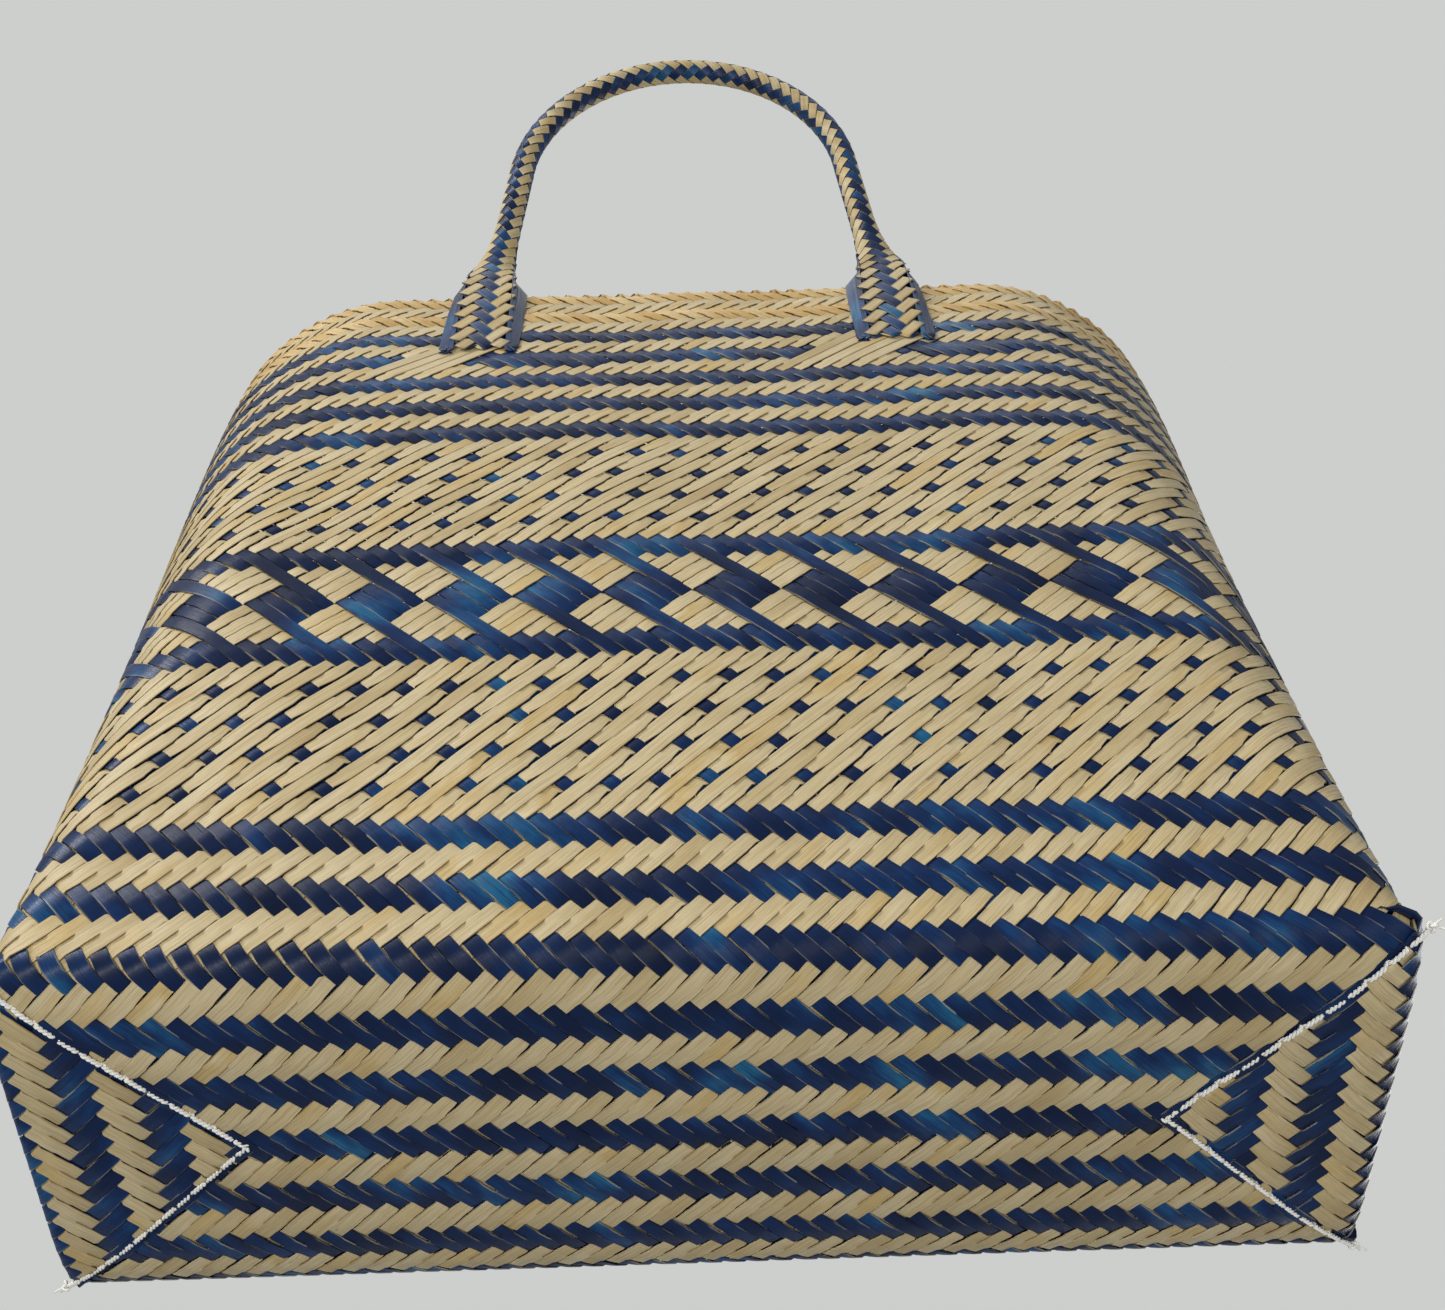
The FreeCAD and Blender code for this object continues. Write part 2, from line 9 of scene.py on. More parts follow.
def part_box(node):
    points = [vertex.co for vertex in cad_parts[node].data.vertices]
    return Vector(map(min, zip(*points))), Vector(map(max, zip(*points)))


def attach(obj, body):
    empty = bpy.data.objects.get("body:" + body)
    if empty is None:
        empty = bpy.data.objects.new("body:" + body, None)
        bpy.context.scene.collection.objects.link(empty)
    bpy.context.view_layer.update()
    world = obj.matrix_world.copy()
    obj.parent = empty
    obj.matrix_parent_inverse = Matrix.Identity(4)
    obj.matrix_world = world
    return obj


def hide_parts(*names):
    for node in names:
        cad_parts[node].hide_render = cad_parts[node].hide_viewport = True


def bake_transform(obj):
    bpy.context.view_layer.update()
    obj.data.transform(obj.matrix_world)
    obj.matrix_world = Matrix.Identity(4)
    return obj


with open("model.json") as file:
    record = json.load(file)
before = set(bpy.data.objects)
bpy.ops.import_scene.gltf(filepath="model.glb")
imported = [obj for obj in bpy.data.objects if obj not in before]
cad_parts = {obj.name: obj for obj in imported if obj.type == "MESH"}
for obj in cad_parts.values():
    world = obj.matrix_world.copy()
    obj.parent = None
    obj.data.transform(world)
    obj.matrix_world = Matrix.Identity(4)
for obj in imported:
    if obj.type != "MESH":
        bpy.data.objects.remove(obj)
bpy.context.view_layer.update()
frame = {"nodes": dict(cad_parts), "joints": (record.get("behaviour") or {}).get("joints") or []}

# Hand-plaited straw tote: every splint of the diagonal plait is its own ribbon, laid over and
# under by the draft below, on one surface that runs from the base ridge up over the lip.

MM = 0.001
rng = np.random.default_rng(7)

# ------------------------------------------------------------------ sizes from the frame, in mm

FLAP_LOW, FLAP_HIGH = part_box("end_flap_right")

BASE_HALF_WIDTH = FLAP_HIGH.x / MM
BASE_HALF_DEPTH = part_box("base_mat")[1].y / MM
RIDGE_HALF = FLAP_LOW.x / MM
MOUTH_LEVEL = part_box("rim_band")[1].z / MM
BASE_FLAT = 34.0        # half depth of the flat middle of the base
BASE_BEND = 73.0        # radius of the curve on each side of it
FOOT_LEVEL = 6.0        # height of the fold between base and wall
# half width, half depth and corner radius of four level sections, foot to mouth
SECTIONS = [(183.6, 60.0, 7.0), (179.0, 81.0, 38.0), (184.0, 90.0, 60.0), (190.0, 87.0, 78.0)]

# ------------------------------------------------------------------ the plait

AROUND = 144            # splints of each set around the bag
FRONT_SPAN = 54         # pitches across the front and the back
END_SPAN = 18           # pitches across each end
BASE_ROWS = 18          # rows from the fold to the ridge
WALL_ROWS = 107         # rows from the fold to the lip
LIP_ROWS = 1.3          # rows that the turn over the lip takes
LAST_ROW = 116          # foot of the lining, inside
PITCH = 2 * BASE_HALF_WIDTH / FRONT_SPAN
BASE_ARC = BASE_FLAT + BASE_BEND * math.asin((BASE_HALF_DEPTH - BASE_FLAT) / BASE_BEND)
ROW_RUN = 4.8           # mm along a splint from one crossing to the next
RIM_ROW = 95.5          # the undyed band starts here
FOLD_ROW = -1.5         # and the base's pieces end here
FOLD_REACH = 1.7        # rows on each side of the base fold that it rounds
SURFACE_INSET = 0.9     # plait's middle surface, inside the outer surface
LINING_INSET = 3.5      # and the lining's
SPLINT_THICKNESS = 0.62
WEAVE_LIFT = 0.38       # how far a splint stands above or below the middle surface
FLOAT_RISE = 0.32       # how much higher the middle of a long float stands
UNDER_SINK = 0.14       # and how much lower the middle of a long run underneath lies
SAMPLE_OFFSET = 0.36    # samples sit this far before and after each crossing
TIP_SHIFT = 0.18        # pitches to the upper left for each mm that a natural tip is narrower
RIDGE_OVERLAP = 1.5     # rows by which the front half of the base passes the ridge
HIP_TUCK = 1.4          # rows by which splints run on under the base's diagonals
TUCK_DEPTH = 1.5
SWELL = 0.7             # mm by which the walls wave in and out, once in 24 pitches
SWELL_PITCHES = 24
RIPPLE = 0.5            # and once in 9 pitches
RIPPLE_PITCHES = 9
SQUARE_ROWS = 36        # rows over which the walls' corners leave the base's corners

# half width of a splint along a float, at the float's ends and where it is hidden
SPLINT_HALF = {"natural": (2.52, 2.10, 2.40), "blue": (2.47, 2.10, 2.40)}
SLACK_TIP = 1.50        # half width at the ends of natural floats in the dotted fields
SLACK_ROWS = ((14, 33), (50, 68))
SLACK_SHARE = {"natural": 0.06, "blue": 0.012}
WORN_PLACE = (-15, 56)  # pitch and row of the front's loosest patch
WORN_REACH = (8, 10)
WORN_SHARE = 0.05
LOZENGE_SHARE = 0.015   # share by which splints are narrower in the lozenge band
SHIFT_NOISE = 0.007     # pitches by which a splint wanders from sample to sample
SHIFT_MOST = 0.05
WIDTH_NOISE = 0.012     # share by which splints differ in width
EDGE_NOISE = 0.006      # and by which one splint's width varies along it
LEAN = {"natural": 0.5, "blue": -0.5}       # pitches that a splint moves around for each row up
ROLL = {"natural": -0.05, "blue": 0.03}     # how far a splint tilts about its length

# middle and half width, in pitches, of each side of the base
REGIONS = {"front": (0, FRONT_SPAN / 2), "right": (36, END_SPAN / 2),
           "back": (72, FRONT_SPAN / 2), "left": (108, END_SPAN / 2)}
WALL_CORNERS = (27, 45, 99, 117)            # pitch counts where one wall ends and the next starts
# pieces of each set of splints, and the CAD nodes that they stand for
PLACES = {"front_wall": ("front_wall",), "right_wall": ("right_side_wall",),
          "back_wall": ("back_wall",), "left_wall": ("left_side_wall",), "base": ("base_mat",),
          "left_flap": ("end_flap_left",), "right_flap": ("end_flap_right",),
          "rim": ("rim_band", "rim_lip", "rim_lining")}
PANELS = list(PLACES)


def smooth(t):
    """Smooth step from 0 to 1."""
    t = np.clip(t, 0, 1)
    return t * t * (3 - 2 * t)


def unit(v):
    return v / np.maximum(np.linalg.norm(v, axis=-1, keepdims=True), 1e-9)


def between(value, low, high):
    return (value >= low) & (value <= high)


# ------------------------------------------------------------------ the draft

# i counts the natural splints and j the blue ones, both around the base fold, and their crossing
# is on row n = j - i above it. Stripes, field, lozenges, field and stripes follow one another.
STRIPE_ROWS = 3
LOW_STRIPES_END = 14
FIELDS = ((14, 32, 17), (50, 68, 53))       # first row, last row, first row of dots
DOT_ROWS = 4                                # rows from one line of dots to the next
DOT_LINES = 4
LOZENGE_ROWS = (33, 49)
LOZENGE_PITCH = 4
LOZENGE_MIDDLE = 40
TOP_STRIPES_START = 69
ROOT_PLACES = (-11.35, 11.35, 60.65, 83.35)     # pitch counts of the four handle roots
ROOT_ROW = 90
FAN_ROWS = (86, 93)
FAN_STRANDS = (-3.6, 1.2)
BUNDLE_ROWS = (86, 89)
BUNDLE_SPAN = (1.0, 6.5)                        # pitches to the side of a root's middle


def beside_roots(i, j, over):
    """Draft under the handle roots: long natural floats on one side, dyed ones on the other."""
    n = j - i
    near, far = BUNDLE_SPAN
    for place in ROOT_PLACES:
        offset = ((i + j) / 2 - place + AROUND / 2) % AROUND - AROUND / 2
        strand = offset - (n - ROOT_ROW) / 2
        fan = between(n, *FAN_ROWS) & between(strand, *FAN_STRANDS) & (offset <= near)
        bundle = between(n, *BUNDLE_ROWS) & (offset > near) & (offset <= far)
        over = np.where(bundle, False, over | fan)
    return over


def dots(i, j, first):
    """Dyed dots of one field, on every second column, each line of them a column further on."""
    column = np.floor_divide(i + j, 2)
    line, rest = np.divmod(j - i - first, DOT_ROWS)
    return (rest == 0) & between(line, 0, DOT_LINES - 1) & ((column + line) % 2 == 0)


def lozenges(i, j):
    """Natural blocks of the lozenge band: a lower and an upper one for every four splints."""
    blocks = np.zeros(i.shape, bool)
    for shift in range(-2 * LOZENGE_PITCH, 3 * LOZENGE_PITCH, LOZENGE_PITCH):
        k = np.floor_divide(i, LOZENGE_PITCH) * LOZENGE_PITCH + shift
        m, q = i - k, LOZENGE_MIDDLE + k - j
        blocks |= between(m, 0, LOZENGE_PITCH) & between(q, 0, 2) & (m + q <= LOZENGE_PITCH)
        m, q = m + LOZENGE_PITCH + 1, -q - 1
        blocks |= between(m, 0, LOZENGE_PITCH) & between(q, 0, 2) & (q <= m)
    return blocks


def natural_over(i, j):
    """Draft: True where the natural splint i lies over the blue splint j."""
    n = j - i
    low_stripes = np.floor_divide(n + 1, STRIPE_ROWS) % 2 == 1
    top_stripes = np.floor_divide(n - TOP_STRIPES_START, STRIPE_ROWS) % 2 == 1
    over = np.where(n < LOW_STRIPES_END, low_stripes, top_stripes)
    for first, last, first_dots in FIELDS:
        over = np.where(between(n, first, last), ~dots(i, j, first_dots), over)
    over = np.where(between(n, *LOZENGE_ROWS), lozenges(i, j), over)
    return beside_roots(i, j, over)


# ------------------------------------------------------------------ the surface that it lies on

# u is the pitch count around the bag from the front centre towards +X, n the row above the fold


def section_sizes(level):
    """Half width, half depth and corner radius at a height, through the four sections."""
    knots = np.linspace(0, 1, 4)
    t = level / MOUTH_LEVEL
    return [np.polyval(np.polyfit(knots, [s[k] for s in SECTIONS], 3), t) for k in range(3)]


def outline(quarter, straight, a, b, r):
    """Point on a rounded rectangle; quarter runs 0 to 4 from the front centre towards +X.

    The nearer straight is to 1, the more strictly the base's corner splints stay at the corners."""
    turn = np.floor(quarter) % 4
    share = quarter - np.floor(quarter)
    share = np.where(turn % 2 == 0, share, 1 - share)
    run = (a - r) + math.pi * r / 2 + (b - r)
    corner = (a - r) + math.pi * r / 4
    split = FRONT_SPAN / (FRONT_SPAN + END_SPAN)
    strict = np.where(share < split, share / split * corner,
                      corner + (share - split) / (1 - split) * (run - corner))
    s = strict * straight + share * run * (1 - straight)
    angle = np.clip((s - (a - r)) / r, 0, math.pi / 2)
    x = np.minimum(s, a - r) + r * np.sin(angle)
    y = np.where(s < a - r, b, np.where(angle < math.pi / 2, b - r + r * np.cos(angle), run - s))
    return np.where(turn < 2, x, -x), np.where((turn == 0) | (turn == 3), -y, y)


def wall_surface(u, n):
    """Middle surface of the plait above the base fold, over the lip and down the lining."""
    past = n - WALL_ROWS
    over_lip = np.clip(past / LIP_ROWS, 0, 1) * math.pi
    half_gap = (LINING_INSET - SURFACE_INSET) / 2
    inset = SURFACE_INSET + half_gap * (1 - np.cos(over_lip))
    row_height = (MOUTH_LEVEL - FOOT_LEVEL) / WALL_ROWS
    level = FOOT_LEVEL + np.minimum(n, WALL_ROWS) * row_height
    rise = half_gap * np.sin(over_lip) - np.maximum(past - LIP_ROWS, 0) * row_height
    turn = u * 2 * math.pi
    wave = SWELL * np.sin(turn / SWELL_PITCHES + n * 0.05) * np.sin(n * math.pi / WALL_ROWS)
    wave += RIPPLE * np.sin(turn / RIPPLE_PITCHES + 1.3) * np.sin(n * math.pi / 40)
    inset = inset - np.where(past < 0, wave, 0)
    a, b, r = section_sizes(level)
    straight = 1 - smooth(n / SQUARE_ROWS)
    x, y = outline((u / (AROUND / 4)) % 4, straight, a - inset, b - inset, r - inset)
    return np.stack([x, y, level + rise], -1)


def bent_sheet(run, inset):
    """Y and Z across the base for a run from its long axis, flat and then curving up."""
    side = np.sign(run)
    bend = np.maximum(np.abs(run) - BASE_FLAT, 0) / BASE_BEND
    y = np.minimum(np.abs(run), BASE_FLAT) + (BASE_BEND - inset) * np.sin(bend)
    return side * y, BASE_BEND - (BASE_BEND - inset) * np.cos(bend)


def base_surface(region, u, n):
    """Middle surface of one base panel; n is negative going in from the fold."""
    centre, half = REGIONS[region]
    inward = -n / BASE_ROWS
    offset = (u - centre + AROUND / 2) % AROUND - AROUND / 2
    side = 1 if region in ("front", "right") else -1
    if region in ("front", "back"):
        x = side * offset * PITCH
        y, z = bent_sheet(-side * BASE_ARC * (1 - inward), SURFACE_INSET)
    else:
        x = side * (BASE_HALF_WIDTH - inward * (BASE_HALF_WIDTH - RIDGE_HALF))
        y, z = bent_sheet(side * offset / half * BASE_ARC, SURFACE_INSET)
    return np.stack([np.broadcast_to(x, np.shape(z)), y, z], -1)


def surface(region, u, n):
    """Whole middle surface, with the fold between base and wall rounded."""
    t = np.clip((n + FOLD_REACH) / (2 * FOLD_REACH), 0, 1)[..., None]
    low = base_surface(region, u, np.minimum(n, -FOLD_REACH))
    edge = base_surface(region, u, np.zeros_like(n))
    high = wall_surface(u, np.maximum(n, FOLD_REACH))
    return (1 - t) ** 2 * low + 2 * t * (1 - t) * edge + t ** 2 * high


def surface_normal(region, u, n):
    """Outward normal of the middle surface."""
    step = 0.05
    across = surface(region, u + step, n) - surface(region, u - step, n)
    up = surface(region, u, n + step) - surface(region, u, n - step)
    return unit(np.cross(across, up))


def region_of(index):
    """Region at the base fold of a splint whose pitch count there is index."""
    for name, (centre, half) in REGIONS.items():
        offset = (index - centre + AROUND / 2) % AROUND - AROUND / 2
        if -half <= offset < half:
            return name, offset
    raise ValueError(index)


def sample_rows():
    """Rows where every splint is sampled, one before and one after each crossing."""
    rows = np.arange(-BASE_ROWS - 2, LAST_ROW + 1)
    return np.sort(np.concatenate([rows - SAMPLE_OFFSET, rows + SAMPLE_OFFSET]))


# ------------------------------------------------------------------ meshes

# cross-section of a splint: share of the half width, share of the thickness
RING = [(-1.0, 0.0), (-0.93, 0.47), (0.0, 0.56), (0.93, 0.47), (1.0, 0.0), (0.0, -0.5)]
CRISP = (1, 3)          # ring corners whose lengthwise edges stay sharp
CAP = ((0, 1, 2, 5), (2, 3, 4, 5))      # the two quads that close an end


def new_mesh(name, points, quads, marks, crisp=()):
    """Piece of smooth quads from points in mm, with marks kept on its points for the materials."""
    mesh = bpy.data.meshes.new(name)
    mesh.vertices.add(len(points))
    mesh.vertices.foreach_set("co", np.ascontiguousarray(points * MM, np.float32).ravel())
    mesh.loops.add(quads.size)
    mesh.polygons.add(len(quads))
    mesh.polygons.foreach_set("loop_start", np.arange(0, quads.size, 4, dtype=np.int32))
    mesh.polygons.foreach_set("vertices", np.ascontiguousarray(quads, np.int32).ravel())
    mesh.polygons.foreach_set("use_smooth", np.ones(len(quads), bool))
    for key, values in marks.items():
        mark = mesh.attributes.new(key, "FLOAT", "POINT")
        mark.data.foreach_set("value", np.ascontiguousarray(values, np.float32).ravel())
    mesh.update(calc_edges=True)
    if crisp:
        ends = np.zeros(2 * len(mesh.edges), np.int32)
        mesh.edges.foreach_get("vertices", ends)
        corner = ends.reshape(-1, 2) % len(RING)
        sharp = (corner[:, 0] == corner[:, 1]) & np.isin(corner[:, 0], crisp)
        mesh.attributes.new("sharp_edge", "BOOLEAN", "EDGE").data.foreach_set("value", sharp)
    piece = bpy.data.objects.new(name, mesh)
    bpy.context.scene.collection.objects.link(piece)
    return piece


def ribbons(centre, normal, half_width, thickness, lift, keep, tone, along, label, names, roll):
    """Six-sided ribbons along many centre lines at once, split into named pieces by label.

    Arrays are strand by sample; label is strand by segment and indexes names, and a segment
    labelled -1 is left open. A ribbon is capped where keep ends it."""
    forward = np.gradient(centre, axis=1)
    forward = unit(forward - normal * (forward * normal).sum(-1, keepdims=True))
    side = np.cross(normal, forward)
    strands, samples = keep.shape
    ring = np.array(RING)
    count = len(ring)
    across = ring[None, None, :, 0] * half_width[..., None]
    height = ring[None, None, :, 1] * thickness + lift[..., None] + roll * across
    points = (centre[..., None, :] + side[..., None, :] * across[..., None]
              + normal[..., None, :] * height[..., None])
    marks = {"across": across, "tone": np.broadcast_to(tone[:, None, None], across.shape),
             "along": np.broadcast_to(along[..., None], across.shape)}
    whole = keep[:, :-1] & keep[:, 1:]
    pieces = []
    for value, name in enumerate(names):
        part = whole & (label == value)
        if not part.any():
            continue
        used = np.zeros((strands, samples), bool)
        used[:, :-1] |= part
        used[:, 1:] |= part
        index = np.full((strands, samples), -1)
        index[used] = np.arange(used.sum())
        s, k = np.nonzero(part)
        a, b = index[s, k] * count, index[s, k + 1] * count
        quads = [np.stack([a + r, b + r, b + (r + 1) % count, a + (r + 1) % count], 1)
                 for r in range(count)]
        before = np.pad(whole, ((0, 0), (1, 0)))[:, :-1]
        after = np.pad(whole, ((0, 0), (0, 1)))[:, 1:]
        first = index[:, :-1][part & ~before] * count
        last = index[:, 1:][part & ~after] * count
        for corners in CAP:
            quads.append(np.stack([first + c for c in corners], 1))
        for corners in CAP:
            quads.append(np.stack([last + c for c in corners[::-1]], 1))
        chosen = {key: values[used] for key, values in marks.items()}
        skin = points[used].reshape(-1, 3)
        pieces.append(new_mesh(name, skin, np.concatenate(quads), chosen, CRISP))
    return pieces


def lift_profile(over):
    """Height of a splint at each sample: up where it is over, down where it is under."""
    state = np.where(over, 1.0, -1.0)
    padded = np.pad(state, ((0, 0), (1, 1)), mode="edge")
    inside = (padded[:, :-2] == state) & (padded[:, 2:] == state)
    level = WEAVE_LIFT * state + np.where(inside, np.where(over, FLOAT_RISE, -UNDER_SINK), 0)
    return np.repeat(level, 2, axis=1)


def in_fields(n):
    """True between the rows where the dotted fields' floats lie slack."""
    return np.any([(n > first) & (n < last) for first, last in SLACK_ROWS], axis=0)


def float_widths(over, rows, kind):
    """Half width at each sample: full in the middle of a float, narrower where it dives."""
    padded = np.pad(over, ((0, 0), (1, 1)), mode="edge")
    here, before, after = padded[:, 1:-1], padded[:, :-2], padded[:, 2:]
    full, tip, hidden = SPLINT_HALF[kind]
    if kind == "natural":
        tip = np.where(in_fields(rows), SLACK_TIP, tip)
    first = np.where(here, np.where(before, full, tip), hidden)
    last = np.where(here, np.where(after, full, tip), hidden)
    width = np.stack([first, last], axis=2).reshape(over.shape[0], -1)
    ends = np.pad(width, ((0, 0), (1, 1)), mode="edge")
    return 0.25 * ends[:, :-2] + 0.5 * width + 0.25 * ends[:, 2:]


def looseness(u, n, kind):
    """Share by which splints are narrower: in the dotted fields, the lozenges and a worn patch."""
    pitch, row = WORN_PLACE
    offset = (u + AROUND / 2) % AROUND - AROUND / 2
    worn = np.exp(-((offset - pitch) / WORN_REACH[0]) ** 2 - ((n - row) / WORN_REACH[1]) ** 2)
    band = np.exp(-((n - np.mean(LOZENGE_ROWS)) / 7) ** 2)
    field = np.where(in_fields(n), SLACK_SHARE[kind], 0.0)
    return field + WORN_SHARE * worn + LOZENGE_SHARE * band


def lowest_row(kind, region, offset):
    """Row in the base where a splint ends, and how many rows of base it has room for."""
    half = REGIONS[region][1]
    room = (offset + half) if kind == "natural" else (half - offset)
    lowest = -min(room, BASE_ROWS)
    if room >= BASE_ROWS and region == "front":
        lowest -= RIDGE_OVERLAP
    elif room >= BASE_ROWS and region == "back":
        lowest += RIDGE_OVERLAP
    elif region in ("front", "back"):
        lowest -= HIP_TUCK * min(1, max(room, 0) / 5)
    return lowest, room


def panel_labels(region, around, rows):
    """Which of PANELS each segment of a splint belongs to."""
    wall = np.searchsorted(WALL_CORNERS, around, side="right") % len(WALL_CORNERS)
    low_panel = PANELS.index("base" if region in ("front", "back") else region + "_flap")
    return np.where(rows > RIM_ROW, PANELS.index("rim"), np.where(rows < FOLD_ROW, low_panel, wall))


def plait_set(kind):
    """All splints of one set, from the base ridge or diagonals up over the lip."""
    lean = LEAN[kind]
    rows = np.arange(-BASE_ROWS - 2, LAST_ROW + 1)
    n = np.tile(sample_rows(), (AROUND, 1))
    index = np.arange(AROUND)[:, None]
    if kind == "natural":
        i, j = np.broadcast_arrays(index, index + rows)
    else:
        i, j = np.broadcast_arrays(index - rows, index)
    over = natural_over(i, j) == (kind == "natural")
    width = float_widths(over, rows, kind)
    shift = np.cumsum(rng.normal(0, SHIFT_NOISE, n.shape), axis=1)
    shift = np.clip(shift - shift.mean(axis=1, keepdims=True), -SHIFT_MOST, SHIFT_MOST)
    if kind == "natural":
        shift = shift - TIP_SHIFT * (width.max() - width)
    centre, normal = np.zeros(n.shape + (3,)), np.zeros(n.shape + (3,))
    keep, tuck = np.ones(n.shape, bool), np.zeros(n.shape)
    label = np.zeros((AROUND, n.shape[1] - 1), int)
    for s in range(AROUND):
        region, offset = region_of(s)
        lowest, room = lowest_row(kind, region, offset)
        keep[s, :-1] = n[s, 1:] > lowest
        n[s] = np.maximum(n[s], lowest)
        if region in ("front", "back") and room < BASE_ROWS:
            tuck[s] = TUCK_DEPTH * smooth((-room + 1.0 - n[s]) / 2.0) * (n[s] < 0)
        u = s + lean * n[s] + shift[s]
        centre[s] = surface(region, u, n[s])
        normal[s] = surface_normal(region, u, n[s])
        middle = (n[s, :-1] + n[s, 1:]) / 2
        label[s] = panel_labels(region, (s + lean * middle) % AROUND, middle)
    wander = np.repeat(rng.normal(0, EDGE_NOISE, (AROUND, len(rows))), 2, axis=1)
    half_width = width * (1 + rng.normal(0, WIDTH_NOISE, (AROUND, 1)) + wander)
    half_width = half_width * (1 - looseness(index + lean * n, n, kind))
    tone = rng.random(AROUND)
    along = sample_rows() * ROW_RUN + 900 * rng.random((AROUND, 1))
    names = ["%s_%s_splints" % (panel, kind) for panel in PANELS]
    return ribbons(centre, normal, half_width, SPLINT_THICKNESS, lift_profile(over) - tuck, keep,
                   tone, along, label, names, ROLL[kind])


# ------------------------------------------------------------------ materials

BUMP_DEPTH = 0.00022    # metres
COAT_ROUGHNESS = 0.3
SMUDGE = "2E4560"       # dye that has rubbed off on undyed splints


def colour(text):
    """Linear colour from a hexadecimal sRGB text."""
    parts = [int(text[k:k + 2], 16) / 255 for k in (0, 2, 4)]
    linear = [c / 12.92 if c <= 0.04045 else ((c + 0.055) / 1.055) ** 2.4 for c in parts]
    return (*linear, 1.0)


def stops(*pairs):
    """Places and colours for a ramp."""
    return [(place, colour(text)) for place, text in pairs]


class Nodes:
    """Adds and links the shader nodes of one material."""

    def __init__(self, name):
        self.material = bpy.data.materials.new(name)
        self.material.use_nodes = True
        self.tree = self.material.node_tree
        self.shader = self.tree.nodes["Principled BSDF"]

    def add(self, kind, inputs=None, **settings):
        node = self.tree.nodes.new(kind)
        for key, value in settings.items():
            setattr(node, key, value)
        for key, value in (inputs or {}).items():
            self.put(node.inputs[key], value)
        return node

    def put(self, socket, value):
        if isinstance(value, bpy.types.NodeSocket):
            self.tree.links.new(value, socket)
        else:
            socket.default_value = value

    def mark(self, name):
        return self.add("ShaderNodeAttribute", attribute_name=name).outputs["Fac"]

    def math(self, operation, a, b=0.0):
        node = self.add("ShaderNodeMath", {0: a, 1: b}, operation=operation)
        return node.outputs[0]

    def noise(self, vector, scale, detail=2.0, rough=0.5):
        node = self.add("ShaderNodeTexNoise", {"Vector": vector, "Scale": scale, "Detail": detail,
                                               "Roughness": rough})
        return node.outputs["Fac"]

    def vector(self, x, y, z):
        return self.add("ShaderNodeCombineXYZ", {0: x, 1: y, 2: z}).outputs[0]

    def ramp(self, value, stops):
        node = self.add("ShaderNodeValToRGB", {"Fac": value})
        elements = node.color_ramp.elements
        while len(elements) < len(stops):
            elements.new(0.5)
        for element, (place, tint) in zip(elements, stops):
            element.position = place
            element.color = tint
        return node.outputs["Color"]

    def range(self, value, low, high, to_low=0.0, to_high=1.0):
        node = self.add("ShaderNodeMapRange", {"Value": value, "From Min": low, "From Max": high,
                                               "To Min": to_low, "To Max": to_high})
        return node.outputs[0]

    def mix(self, factor, a, b, blend="MIX"):
        node = self.add("ShaderNodeMix", data_type="RGBA", blend_type=blend)
        self.put(node.inputs["Factor"], factor)
        self.put(node.inputs[6], a)
        self.put(node.inputs[7], b)
        return node.outputs[2]

    def bump(self, height, strength, distance):
        inputs = {"Height": height, "Strength": strength, "Distance": distance}
        node = self.add("ShaderNodeBump", inputs)
        self.tree.links.new(node.outputs[0], self.shader.inputs["Normal"])


